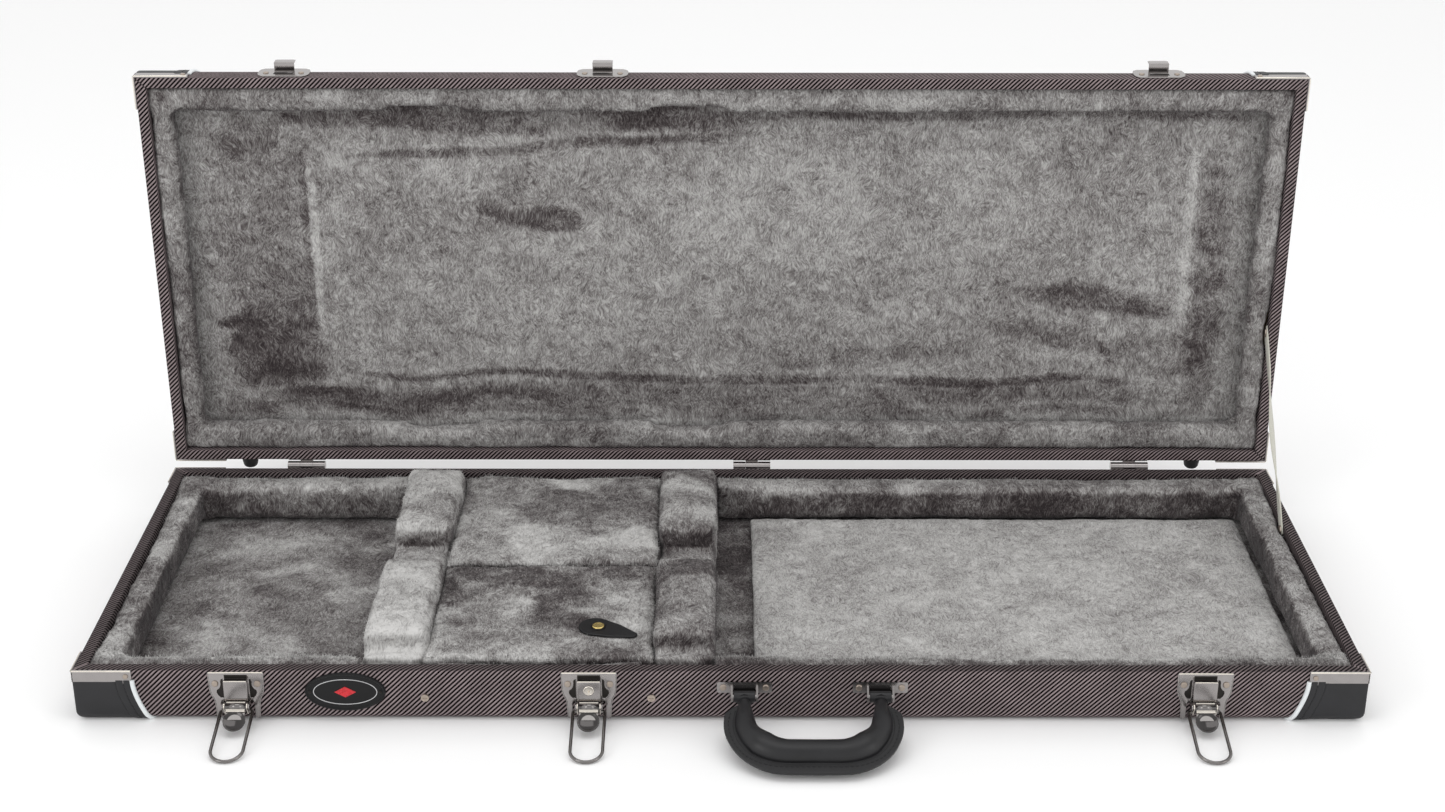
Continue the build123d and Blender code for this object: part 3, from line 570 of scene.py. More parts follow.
def leather(name, colour, roughness):
    """Smooth black leather with a fine pebbled grain and paler rubbed places."""
    shader = Shader(name, Specular_IOR_Level=0.42)
    where = shader.place()
    cells = shader.node("ShaderNodeTexVoronoi", ("Vector", where), ("Scale", 1500.0)).outputs["Distance"]
    rub = shader.noise(where, 45.0, 4.0)
    dust = shader.noise(where, 1200.0, 2.0)
    tone = shader.plus(shader.between(rub, 0.3, 0.7, 0.8, 1.35), shader.times(dust, 0.25))
    shader.tint(colour, tone)
    shader.rough(shader.between(rub, 0.3, 0.7, roughness - 0.05, roughness + 0.08))
    shader.bump(shader.plus(cells, shader.times(rub, 2.0)), 0.10 * MM, 0.35)
    return shader.material


def plain(name, colour, roughness, spread=0.12, grain_scale=300.0, depth=0.05, **values):
    """Plastic, rubber or paint with a faint mottle and moulding grain."""
    shader = Shader(name, **values)
    where = shader.place()
    mottle = shader.noise(where, grain_scale, 3.0)
    tone = shader.between(mottle, 0.25, 0.75, 1 - spread, 1 + spread)
    shader.tint(colour, tone)
    shader.rough(shader.between(mottle, 0.3, 0.7, roughness, roughness + 0.08))
    shader.bump(mottle, depth * MM, 0.4)
    return shader.material


def timber(name):
    """Raw ply: long grain along the case."""
    shader = Shader(name, Roughness=0.7)
    where = shader.stretch(shader.place(), (4.0, 60.0, 60.0))
    rings = shader.noise(where, 6.0, 5.0, 0.65)
    stops = ((0.3, (0.36, 0.24, 0.13)), (0.55, (0.52, 0.38, 0.23)), (0.8, (0.62, 0.48, 0.31)))
    shader.colour(shader.colours(rings, *stops))
    shader.bump(rings, 0.15 * MM, 0.4)
    return shader.material


def webbing(name):
    """Cream flat webbing, woven in fine ribs along the strap."""
    shader = Shader(name, Roughness=0.8, Sheen_Weight=0.2)
    split = shader.node("ShaderNodeSeparateXYZ", (0, shader.place("UV")))
    rib = shader.math("SINE", shader.times(split.outputs[0], 2 * math.pi / (1.1 * MM)))
    pick = shader.math("SINE", shader.times(split.outputs[1], 2 * math.pi / (0.9 * MM)))
    weave = shader.times(rib, pick)
    shader.colour(shader.colours(weave, (0.0, (0.52, 0.51, 0.44)), (1.0, (0.74, 0.735, 0.67))))
    shader.bump(weave, 0.2 * MM, 0.5)
    return shader.material


cover_material = woven("striped_cover")
base_panel_material = woven("striped_base_panel", (1.0, -1.0, 0.0))
lid_panel_material = woven("striped_lid_panel", (1.0, 0.0, -1.0))
plush_material = plush("grey_plush")
nickel = metal("black_nickel", (0.340, 0.320, 0.314), 0.15)
# The thumb levers' dishes: nickel darkened as a painted dark reflection.
dish_dark_reflection = metal("dish_dark_reflection", (0.075, 0.071, 0.070), 0.10)
# The bails, barrels and tongues: nickel darkened as a painted dark reflection.
wire_nickel_dark_reflection = metal("wire_nickel_dark_reflection", (0.20, 0.19, 0.185), 0.12)
# Bright nickel: the lock and parts of the levers, and painted highlights as bars along the strips' and latches'
# top edges.
bright_nickel_and_highlight = metal("bright_nickel_and_highlight", (0.78, 0.73, 0.66), 0.12)
rivet_metal = metal("rivet_nickel", (0.40, 0.34, 0.29), 0.28, 0.12, 0.4)
dark_metal = metal("shadowed_metal", (0.035, 0.032, 0.03), 0.35)
brass = metal("button_brass", (0.83, 0.64, 0.25), 0.22, 0.1, 0.3)
black_leather = leather("black_leather", (0.0075, 0.0075, 0.0085), 0.40)
cap_leather = leather("cap_leather", (0.010, 0.010, 0.0115), 0.44)
thread = plain("black_thread", (0.006, 0.006, 0.007), 0.6)
piping_vinyl = plain("white_piping", (0.74, 0.77, 0.78), 0.28, 0.03)
rubber = plain("foot_rubber", (0.016, 0.016, 0.016), 0.6)
badge_black = plain("badge_black", (0.006, 0.006, 0.0065), 0.30, 0.1, 200.0, 0.02, Specular_IOR_Level=0.25)
badge_ring = plain("badge_ring", (0.55, 0.55, 0.56), 0.3)
badge_red = plain("badge_red", (0.55, 0.012, 0.02), 0.25)
ply = timber("plywood")
strap_webbing = webbing("cream_webbing")

slot_materials = {
    "ply": ply,
    "striped_cover": cover_material,
    "plush": plush_material,
    "corner_leather": cap_leather,
    "piping": piping_vinyl,
    "dark_nickel": nickel,
    "rivets": rivet_metal,
    "handle_leather": black_leather,
    "badge": badge_black,
    "foot_rubber": rubber,
    "webbing": strap_webbing,
    "button": brass,
    "tab_leather": black_leather,
    "lock": bright_nickel_and_highlight,
}
slot_of = {row["node"]: row["material_slot"] for row in frame["record"]["subparts"]}
node_materials = {
    "badge_rivets": dark_metal,
    "base_bottom_cover": base_panel_material,
    "lid_top_cover": lid_panel_material,
    "pocket_dividers": plush_material,
}
for side in LATCH_X:
    node_materials[f"latch_bail_{side}"] = wire_nickel_dark_reflection
for node, obj in frame["nodes"].items():
    obj.data.materials.clear()
    obj.data.materials.append(node_materials.get(node, slot_materials[slot_of[node]]))


# The two halves, as surfaces that pieces are laid on


class Half:
    """One half of the case. Points are given on the shut case and turned with the lid."""

    def __init__(self, name, height, radius):
        self.name = name
        self.height = height
        self.radius = radius
        self.is_lid = name == "lid"

    def turn(self, points):
        return opened(points, self.name)

    def level(self, depth):
        """Height of a point that is this deep inside the half, measured from its rim."""
        gap = 0.15 * MM
        return BASE_HEIGHT + gap + depth if self.is_lid else BASE_HEIGHT - gap - depth

    def skin(self, depth, out=0.0):
        """Inset from the outer face, and depth, of a point this far down along the outside."""
        flat = self.height - self.radius
        t = np.clip((depth - flat) / self.radius, 0, math.pi / 2)
        inset = self.radius * (1 - np.cos(t)) - out * np.cos(t)
        inset = inset + np.maximum(depth - flat - self.radius * math.pi / 2, 0)
        down = np.minimum(depth, flat) + self.radius * np.sin(t) + out * np.sin(t)
        return inset, down

    def wall(self, side, sign, from_corner, corner, depth, out=0.0):
        """A point outside a wall, by its distance from one of the wall's corners."""
        inset, down = self.skin(depth, out)
        ends = (HALF_LENGTH, HALF_DEPTH) if side == "long" else (HALF_DEPTH, HALF_LENGTH)
        along = corner * (ends[0] - from_corner)
        across = sign * (ends[1] - inset)
        if side == "long":
            return np.stack(np.broadcast_arrays(along, across, self.level(down)), axis=-1)
        return np.stack(np.broadcast_arrays(across, along, self.level(down)), axis=-1)

    def normal(self, side, sign):
        out = Vector((0, sign, 0)) if side == "long" else Vector((sign, 0, 0))
        return (lid_open.to_3x3() @ out) if self.is_lid else out


base_half = Half("base", BASE_HEIGHT, BASE_RADIUS)
lid_half = Half("lid", LID_HEIGHT, LID_RADIUS)
halves = (base_half, lid_half)


def wall_drawing(half, side, sign, corner):
    """Local x runs from the corner along the wall, local y down from the rim, local z out of it."""
    origin = half.turn(half.wall(side, sign, 0.0, corner, 0.0))
    along = half.turn(half.wall(side, sign, 1.0, corner, 0.0)) - origin
    down = half.turn(half.wall(side, sign, 0.0, corner, half.height - half.radius)) - origin
    return basis(origin, along, down, half.normal(side, sign))


def woven_cover(half):
    """The cover of the four walls, folded over the rim, with a mitre at each corner."""
    turn_in = 12 * MM
    bottom_lap = 3 * MM
    flat = half.height - half.radius
    rim = [(WALL, turn_in), (WALL, 1.0 * MM), (WALL - 0.3 * MM, 0.3 * MM), (WALL - 1.0 * MM, 0.0)]
    rim += [(1.2 * MM, 0.0), (0.35 * MM, 0.35 * MM)]
    profile = [(inset, depth, -inset - (depth if inset > WALL - 2 * MM else 0)) for inset, depth in rim]
    reach = half.radius * math.pi / 2 + bottom_lap
    depths = np.concatenate((np.linspace(1.2 * MM, flat, 6), flat + np.linspace(0.1, 1, 14) * reach))
    for depth in depths:
        inset, down = half.skin(depth)
        profile.append((float(inset), float(down), float(depth)))
    mitre = 6 * MM
    points, faces, texture, seam_and_rim_shade = [], [], [], []
    sides = [("long", 1), ("long", -1), ("short", 1), ("short", -1)]
    # Painted shade: the base's rim rows take seam values below zero.
    rim_shade = 0 if half.is_lid else 1
    for number, (side, sign) in enumerate(sides):
        length, width = (HALF_LENGTH, HALF_DEPTH) if side == "long" else (HALF_DEPTH, HALF_LENGTH)
        start = len(points)
        for level, (inset, down, unrolled) in enumerate(profile):
            end = length - inset
            row = (-end, -end + mitre, end - mitre, end)
            # Each mitre's ends take seam one: painted shade in the seam's valley.
            for along, seam in zip(row, (1, 0, 0, 1)):
                across = sign * (width - inset)
                spread = sign * (width + unrolled)
                spot = (along, across) if side == "long" else (across, along)
                flat_spot = (along, spread) if side == "long" else (spread, along)
                points.append((*spot, half.level(down)))
                shift = number * 1.3 * MM
                texture.append((flat_spot[0] + shift, -flat_spot[1] if half.is_lid else flat_spot[1]))
                seam_and_rim_shade.append(seam - (rim_shade if level < len(rim) else 0))
        faces += [tuple(start + point for point in face) for face in quads(len(profile), 4)]
    obj = build(f"{half.name}_woven_cover", half.turn(points), faces, cover_material)
    set_texture(obj.data, texture)
    set_value(obj.data, "seam", seam_and_rim_shade)
    thicken(outward(obj), 0.7 * MM)
    weigh_normals(obj)
    return place(obj, half.name, [f"{half.name}_side_cover"])


# Corner hardware. Strips in millimetres: length on a long wall and on a side wall, drop from
# the rim, thickness. Caps: top edge below the rim, seam and stitches in from the cap's edge, and
# how far the leather lies outside the wall, in millimetres.

STRIP_LONG = 47.8
STRIP_SHORT = 30.0
STRIP_DROP = 11.0
STRIP_THICKNESS = 1.4
CAP_TOP = 9.5 * MM
CAP_OUT = 1.15
SEAM_IN = 12.0 * MM
STITCH_IN = 5.4 * MM


def cap_edge(depth, short):
    """How far from the corner the cap ends: it spreads towards the panel."""
    spread = 8.6 * MM * np.clip((depth - 11 * MM) / (30 * MM), 0, 1.5) ** 1.7
    return (33 * MM if short else 46 * MM) + spread


def corner_caps(half):
    """A leather cap on each corner, sewn along its edge, with piping and a metal strip above it."""
    leather_parts = Pieces()
    seam_parts = Pieces()
    piping_parts = Pieces()
    strip_parts = []
    flat = half.height - half.radius
    floor_limit = 60.0 if not half.is_lid else 82.0
    last = flat + half.radius * math.radians(floor_limit)
    depths = np.linspace(CAP_TOP, last, 26 if half.is_lid else 24)
    near = np.array((0.0, 1.5, 3.0, 4.4, 5.0, 5.4, 5.8, 6.4, 8.0, 10.2, 11.3, 11.8, 12.2, 12.7, 13.6)) * MM
    for sx, sy, side in itertools.product((-1, 1), (-1, 1), ("long", "short")):
        sign, corner = (sy, sx) if side == "long" else (sx, sy)
        short = side == "short"
        rows = []
        for depth in depths:
            edge = cap_edge(depth, short)
            raised = CAP_OUT + 0.55 * (1 - ramp(near, SEAM_IN - 0.5 * MM, SEAM_IN + 0.3 * MM))
            raised -= 0.40 * np.exp(-(((near - STITCH_IN) / (0.5 * MM)) ** 2))
            raised -= 0.45 * np.exp(-(((near - SEAM_IN) / (0.35 * MM)) ** 2))
            inset, _ = half.skin(depth, CAP_OUT * MM)
            rest = np.linspace(near[-1] + 4 * MM, edge - inset - 1.6 * MM, 5)
            rest = np.append(rest, edge - inset)
            distance = edge - np.concatenate((near, rest))
            outs = np.concatenate((raised, np.full(len(rest), CAP_OUT))) * MM
            rows.append(half.wall(side, sign, distance, corner, depth, outs))
        leather_parts.add(half.turn(np.concatenate(rows)), quads(len(rows), len(rows[0])))
        along = np.linspace(CAP_TOP + 2 * MM, last, 60)
        for inward, lift, pitch in ((STITCH_IN, 1.45, 3.4), (SEAM_IN, 1.05, 0.0)):
            line = half.wall(side, sign, cap_edge(along, short) - inward, corner, along, lift * MM)
            line = half.turn(line)
            if pitch:
                seam_parts.add(*stitches(line, pitch * MM, 2.5 * MM, 0.45 * MM))
            else:
                seam_parts.add(*tube(line, 0.38 * MM, ring=6, up=half.normal(side, sign)))
        along = np.linspace(CAP_TOP, last + 2.5 * MM, 40)
        line = half.wall(side, sign, cap_edge(along, short) + 1.9 * MM, corner, along, 0.95 * MM)
        shape = tube(half.turn(line), 1.95 * MM, ring=16, flat=0.85, up=half.normal(side, sign))
        piping_parts.add(*shape)
        strip_parts += corner_strip(half, side, sign, corner)
    caps = outward(leather_parts.finish(f"{half.name}_cap_skin", cap_leather), 0.25 * MM)
    caps.modifiers.new("round", "SUBSURF").levels = 1
    thicken(caps, 1.0 * MM)
    place(caps, half.name, [f"{half.name}_corner_caps"])
    place(seam_parts.finish(f"{half.name}_cap_stitches", thread), half.name)
    piping = piping_parts.finish(f"{half.name}_cap_piping_vinyl", piping_vinyl)
    place(piping, half.name, [f"{half.name}_cap_piping"])
    strips = joined(f"{half.name}_corner_plates", strip_parts)
    place(strips, half.name, [f"{half.name}_corner_strips"])


def corner_strip(half, side, sign, corner):
    """A strip on one face of a corner: a round lobe about its rivet, and a rolled top edge in bright nickel as a
    painted highlight.
    """
    end = STRIP_LONG if side == "long" else STRIP_SHORT
    lobe = (end - 6.2, 6.6)
    outline = [(-STRIP_THICKNESS, 0.3), (end, 0.3)]
    outline += arc(lobe, 6.2, 0, 115, 10)
    outline += [(end - 10.6, STRIP_DROP - 1.2), (end - 13.5, STRIP_DROP - 0.2), (end - 18.0, STRIP_DROP)]
    outline += [(-STRIP_THICKNESS, STRIP_DROP)]
    drawing = wall_drawing(half, side, sign, corner)
    plate = cut_plate("strip", [outline], STRIP_THICKNESS, 0.35, drawing, nickel)
    ends = ((-STRIP_THICKNESS + 0.5) * MM, (end - 0.4) * MM)
    line = [drawing @ Vector((x, 0.95 * MM, STRIP_THICKNESS * MM)) for x in ends]
    return [plate, bar("bead", bright_nickel_and_highlight, line, 0.75 * MM, up=half.normal(side, sign))]


# Padding

soft = []


def plush_copy(node, name, body, voxel, shrink, rounding):
    """A pad that starts as its CAD solid, a little smaller, remeshed and rounded for the cloth."""
    obj = new_object(name, frame["nodes"][node].data.copy())
    obj.data.materials.clear()
    obj.data.materials.append(plush_material)
    remesh = obj.modifiers.new("remesh", "REMESH")
    remesh.mode = "VOXEL"
    remesh.voxel_size = voxel
    bake_modifiers(obj)
    ease = obj.modifiers.new("ease", "SMOOTH")
    ease.factor = 0.5
    ease.iterations = rounding
    bake_modifiers(obj)
    points = coordinates(obj.data)
    set_coordinates(obj.data, points - normals_of(obj.data) * shrink)
    soft.append({"obj": obj, "node": node, "body": body, "start": coordinates(obj.data)})
    return obj


CLOTH_FRAMES = 20


def inflate(pads, pressure, cap):
    """Lets the pads swell as cloth skins, then holds each point within a cap of where it began."""
    for pad in pads:
        cloth = pad["obj"].modifiers.new("cloth", "CLOTH")
        cloth.settings.use_pressure = True
        cloth.settings.uniform_pressure_force = pressure
        cloth.settings.effector_weights.gravity = 0.0
        cloth.settings.quality = 4
        cloth.settings.tension_stiffness = 12
        cloth.settings.compression_stiffness = 12
        cloth.collision_settings.use_collision = False
        cloth.point_cache.frame_start = 1
        cloth.point_cache.frame_end = CLOTH_FRAMES
    for number in range(1, CLOTH_FRAMES + 1):
        bpy.context.scene.frame_set(number)
    graph = bpy.context.evaluated_depsgraph_get()
    for pad in pads:
        shift = coordinates(pad["obj"].evaluated_get(graph).data) - pad["start"]
        size = np.linalg.norm(shift, axis=1)[:, None]
        shift *= np.minimum(1.0, cap / np.maximum(size, 1e-9))
        pad["obj"].modifiers.clear()
        set_coordinates(pad["obj"].data, pad["start"] + shift)
    bpy.context.scene.frame_set(1)


def clumps(spots, seed):
    """The uneven height of the pile."""
    return 0.50 * grain(spots, 7 * MM, seed) + 0.30 * grain(spots, 3.6 * MM, seed + 1)


def relief(obj, body, amount, seed):
    """Clumps of pile and slow waves, along the surface's normals."""
    points = coordinates(obj.data)
    spots = shut(points, body)
    height = clumps(spots, seed) + 0.9 * grain(spots, 46 * MM, seed + 2)
    set_coordinates(obj.data, points + normals_of(obj.data) * (height * amount)[:, None])


def nap_value(spots, seed, level, patches=0.30):
    """How light the pile lies: slow patches brushed either way, with short streaks in them."""
    warp = np.stack([grain(spots, 34 * MM, seed + 11 + k) for k in range(3)], axis=1) * 16 * MM
    bent = spots + warp
    brushed = grain(bent, (62 * MM, 44 * MM, 50 * MM), seed)
    brushed += 0.8 * grain(bent, (27 * MM, 20 * MM, 22 * MM), seed + 3)
    streak = grain(bent, (13 * MM, 9 * MM, 10 * MM), seed + 5)
    clump = grain(spots, 5 * MM, seed + 7)
    value = level + patches * ramp(np.abs(brushed), 0.0, 0.8) * np.sign(brushed)
    return value + 0.16 * streak * (0.4 + patches) + 0.12 * clump


def pile(obj, name, body, count, length, weight):
    """Tufts that stand out of a plush surface: thin closed spikes on faces chosen by weight."""
    mesh = obj.data
    centres = read(mesh.polygons, "center")
    directions = read(mesh.polygons, "normal")
    areas = read(mesh.polygons, "area", 1)
    naps_and_shade = read(mesh.attributes["nap_and_shade"].data, "value", 1)
    firsts = np.array([polygon.vertices[0] for polygon in mesh.polygons])
    share = areas * np.clip(weight(shut(centres, body), directions), 0, None)
    chosen = rng.choice(len(areas), size=count, p=share / share.sum())
    spread = np.sqrt(areas[chosen])[:, None]
    roots = centres[chosen] + rng.uniform(-0.6, 0.6, (count, 3)) * spread
    out = directions[chosen]
    roots -= out * ((roots - centres[chosen]) * out).sum(1)[:, None] + out * 0.3 * MM
    heading = out + rng.normal(0, 0.42, (count, 3))
    heading /= np.linalg.norm(heading, axis=1)[:, None]
    reach = length * rng.uniform(0.55, 1.25, count)[:, None]
    across = np.cross(heading, rng.normal(0, 1, (count, 3)))
    across /= np.linalg.norm(across, axis=1)[:, None]
    other = np.cross(heading, across)
    half_width = rng.uniform(0.22, 0.45, count)[:, None] * MM
    foot = ((1, 0), (-0.5, 0.87), (-0.5, -0.87))
    corners = [roots + (across * c + other * d) * half_width for c, d in foot]
    points = np.stack((*corners, roots + heading * reach), axis=1).reshape(-1, 3)
    spike = np.array(((0, 1, 3), (1, 2, 3), (2, 0, 3), (0, 2, 1)))
    faces = (np.arange(count)[:, None, None] * 4 + spike).reshape(-1, 3)
    hair = build(name, points, faces, plush_material)
    # Each tuft takes the patches and painted shade of the face below it, a random change, and a lighter tip.
    tone = naps_and_shade[firsts[chosen]] + rng.normal(0.05, 0.13, count)
    set_value(hair.data, "nap_and_shade", np.stack((tone, tone, tone, tone + 0.08), axis=1).ravel())
    return place(hair, body)


REST_MIDDLES = (-271 * MM, -30.5 * MM)


def beside_rests(spots):
    """One where a neck rest crosses the case, falling to nothing 12 mm away."""
    near = np.zeros(len(spots))
    for middle in REST_MIDDLES:
        near = np.maximum(near, 1 - ramp(np.abs(spots[:, 0] - middle), 28 * MM, 40 * MM))
    return near


# From the case's middle line: how far in the lid's pads may come, and where the rests are squeezed
LID_PAD_LIMIT = 163.8 * MM
REST_END = 154 * MM


def keep_clear(spots, node):
    """Where the shut lid's pads pass the ends of the neck rests, each keeps to its own side."""
    reach = np.abs(spots[:, 1])
    if node == "lid_wall_pads":
        reach = np.where(beside_rests(spots) > 0.4, np.maximum(reach, LID_PAD_LIMIT), reach)
    if node.endswith("neck_rest"):
        reach = np.where(reach > REST_END, REST_END + (reach - REST_END) * 0.70, reach)
    spots[:, 1] = np.sign(spots[:, 1]) * reach
    return spots


def grow_to_walls(spots, strap_y, deeper):
    """Side pads reach the walls except beside the strap, and the pads' inner faces come further in."""
    grown = spots.copy()
    side = np.sign(spots[:, 0])
    near_strap = np.exp(-(((spots[:, 1] - strap_y) / (16 * MM)) ** 2)) * (side > 0)
    grown[:, 0] += side * 4.0 * MM * ramp(np.abs(spots[:, 0]), 0.503, 0.513) * (1 - near_strap)
    inner_x = ramp(np.abs(spots[:, 0]), 0.490, 0.503)
    ends = ramp(np.abs(spots[:, 0]), 0.486, 0.495) * (1 - inner_x)
    grown[:, 0] -= side * deeper * ends
    back = np.sign(spots[:, 1])
    depth = ramp(np.abs(spots[:, 1]), 0.150, 0.158) * (1 - ramp(np.abs(spots[:, 1]), 0.166, 0.180))
    grown[:, 1] -= back * deeper * depth * (1 - beside_rests(spots))
    return grown


def grow_panel(spots, front, back):
    """A pocket panel's plush meets its neighbours on every side."""
    grown = spots.copy()
    middle = (spots[:, 0].min() + spots[:, 0].max()) / 2
    grown[:, 0] = middle + (spots[:, 0] - middle) * 1.018
    low, high = spots[:, 1].min(), spots[:, 1].max()
    grown[:, 1] -= front * (1 - ramp(spots[:, 1], low, low + 20 * MM))
    grown[:, 1] += back * ramp(spots[:, 1], high - 20 * MM, high)
    return grown


TAB_SPOT = (-96.2 * MM, -125.3 * MM)
TAB_TURN = math.radians(-23)
tab_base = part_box("pull_tab")[0]


def under_tab(spots):
    """One beneath the pull tab, falling to nothing just outside it."""
    across, back = (spots[:, :2] - np.array(TAB_SPOT)).T
    along = across * math.cos(TAB_TURN) + back * math.sin(TAB_TURN)
    aside = back * math.cos(TAB_TURN) - across * math.sin(TAB_TURN)
    return 1 - ramp(np.hypot((along - 1.5 * MM) / (29 * MM), aside / (16 * MM)), 0.95, 1.2)


# The stay strap's anchors, back and up in the open pose, and where the lid's lies when shut
BASE_ANCHOR = (73.4 * MM, 42 * MM)
LID_ANCHOR = (200.7 * MM, 188.1 * MM)
SHUT_ANCHOR_Y = 58.4 * MM
GROWN = {
    "base_wall_pads": lambda spots: grow_to_walls(spots, BASE_ANCHOR[0], 1.5 * MM),
    "lid_wall_pads": lambda spots: grow_to_walls(spots, SHUT_ANCHOR_Y, 5.0 * MM),
    "pocket_lid": lambda spots: grow_panel(spots, 3.0 * MM, 0.6 * MM),
    "pocket_fixed_panel": lambda spots: grow_panel(spots, 0.6 * MM, 3.0 * MM),
}


def finish_pad(pad, seed, amount, nap_and_shade):
    """One subdivision, the pile's relief, and its brushed patches with painted shade; then it stands for its CAD
    node.
    """
    obj, node, body = pad["obj"], pad["node"], pad["body"]
    if node in GROWN:
        points = GROWN[node](shut(coordinates(obj.data), body))
        set_coordinates(obj.data, opened(points, body))
    obj.modifiers.new("split", "SUBSURF").levels = 1
    bake_modifiers(obj)
    obj.data.shade_smooth()
    relief(obj, body, amount, seed)
    points = keep_clear(shut(coordinates(obj.data), body), node)
    set_coordinates(obj.data, opened(points, body))
    if node == "pocket_lid":
        points = coordinates(obj.data)
        above = np.clip(points[:, 2] - tab_base.z - 0.1 * MM, 0, None)
        points[:, 2] -= above * under_tab(points)
        set_coordinates(obj.data, points)
    spots = shut(coordinates(obj.data), body)
    directions = normals_of(obj.data)
    if body == "lid":
        directions = directions @ np.array(lid_open.inverted())[:3, :3].T
    set_value(obj.data, "nap_and_shade", nap_and_shade(spots, directions, seed))
    place(obj, body, [node])


def lining(name, half, low, high, depth, step, seed, nap_and_shade, waves, replaced):
    """A plush sheet glued to a panel: its upper face carries the pile's relief."""
    across = np.arange(low[0], high[0] + step / 2, step)
    back = np.arange(low[1], high[1] + step / 2, step)
    grid_x, grid_y = np.meshgrid(across, back)
    spots = np.stack((grid_x.ravel(), grid_y.ravel(), np.zeros(grid_x.size)), axis=1)
    height = clumps(spots, seed) * 0.8 * MM + waves(spots)
    levels = half.level(depth - height)
    top = np.stack((spots[:, 0], spots[:, 1], levels), axis=1)
    obj = build(name, half.turn(top), quads(len(back), len(across)), plush_material)
    set_value(obj.data, "nap_and_shade", nap_and_shade(spots, seed))
    rim, panel = half.turn([(0, 0, half.level(0.0)), (0, 0, half.level(depth))])
    if obj.data.polygons[0].normal.dot(Vector(rim - panel)) < 0:
        obj.data.flip_normals()
    thicken(obj, 1.6 * MM)
    place(obj, half.name, replaced)


def nap_and_shade_of(level, patches=0.3, side_shade=0.25, up=(0, 0, 1), ends=0.0):
    """A rule for the pile: its brushed patches, lighter where it faces up, with painted shade where it turns away
    from up and on faces turned along the case.
    """

    def rule(spots, directions, seed):
        facing = directions @ np.asarray(up, float)
        value = nap_value(spots, seed, level, patches)
        value -= ends * ramp(np.abs(directions[:, 0]), 0.5, 0.9) * (directions[:, 2] < 0.6)
        return value - side_shade * (1 - ramp(facing, -0.1, 0.75))

    return rule


def front_crest(spots):
    """One along the inner edge of the front pad, the first pile seen past the rim."""
    forward = -spots[:, 1]
    return ramp(forward, 0.152, 0.158) * (1 - ramp(forward, 0.168, 0.178))


def base_pad_nap_and_shade(spots, directions, seed):
    """The base's pads: painted shade on their inner faces and ends, a painted highlight along the front pad's
    crest, and darker in the band beside the front wall.
    """
    value = nap_and_shade_of(0.68, 0.20, 0.38, ends=0.22)(spots, directions, seed)
    return value + 0.30 * front_crest(spots) - 0.34 * ramp(-spots[:, 1], 0.163, 0.170)


# Build: covers and corners

for half in halves:
    woven_cover(half)
    corner_caps(half)

# Build: padding

base_pads = plush_copy("base_wall_pads", "base_wall_padding", "base", 4.6 * MM, 0.9 * MM, 4)
head_rest = plush_copy("head_neck_rest", "head_rest_padding", "base", 3.2 * MM, 0.0, 5)
body_rest = plush_copy("body_neck_rest", "body_rest_padding", "base", 3.2 * MM, 0.0, 5)
plush_copy("body_bed_pad", "bed_padding", "base", 4.5 * MM, 0.3 * MM, 2)
fixed_panel = plush_copy("pocket_fixed_panel", "pocket_fixed_padding", "base", 2.6 * MM, 0.0, 1)
flap = plush_copy("pocket_lid", "pocket_lid_padding", "pocket_lid", 2.6 * MM, 0.0, 1)
lid_pads = plush_copy("lid_wall_pads", "lid_wall_padding", "lid", 4.6 * MM, 0.9 * MM, 4)
inflate(soft, 4.0, 2.2 * MM)

# The levels differ from pad to pad as painted light and shade along with the pile's own tone; the lid's pads are
# lightest where they face up in the open pose.
rules = {
    "base_wall_pads": (base_pad_nap_and_shade, 1.4 * MM),
    "head_neck_rest": (nap_and_shade_of(0.96, 0.30, 0.38), 1.5 * MM),
    "body_neck_rest": (nap_and_shade_of(0.62, 0.34, 0.30), 1.5 * MM),
    "body_bed_pad": (nap_and_shade_of(0.90, 0.10, 0.45), 0.9 * MM),
    "pocket_fixed_panel": (nap_and_shade_of(0.74, 0.32, 0.30), 1.4 * MM),
    "pocket_lid": (nap_and_shade_of(0.66, 0.36, 0.30), 1.4 * MM),
    "lid_wall_pads": (nap_and_shade_of(0.62, 0.16, 0.30, (0, -0.55, -0.84)), 1.3 * MM),
}
for number, pad in enumerate(soft):
    rule, amount = rules[pad["node"]]
    finish_pad(pad, 20 + 9 * number, amount, rule)


def no_waves(spots):
    return np.zeros(len(spots))


def lid_waves(spots):
    """Slow billows in the lid's lining and a crease near each end."""
    height = 1.6 * MM * grain(spots, (120 * MM, 40 * MM, 1), 71)
    for x, y_low, y_high in ((-0.392, -0.12, 0.13), (0.412, -0.10, 0.12)):
        away = (spots[:, 0] - x - 0.03 * (spots[:, 1])) / (3.5 * MM)
        held = ramp(spots[:, 1], y_low, y_low + 0.03) * (1 - ramp(spots[:, 1], y_high - 0.03, y_high))
        height += 1.2 * MM * np.exp(-(away**2)) * held
    return height


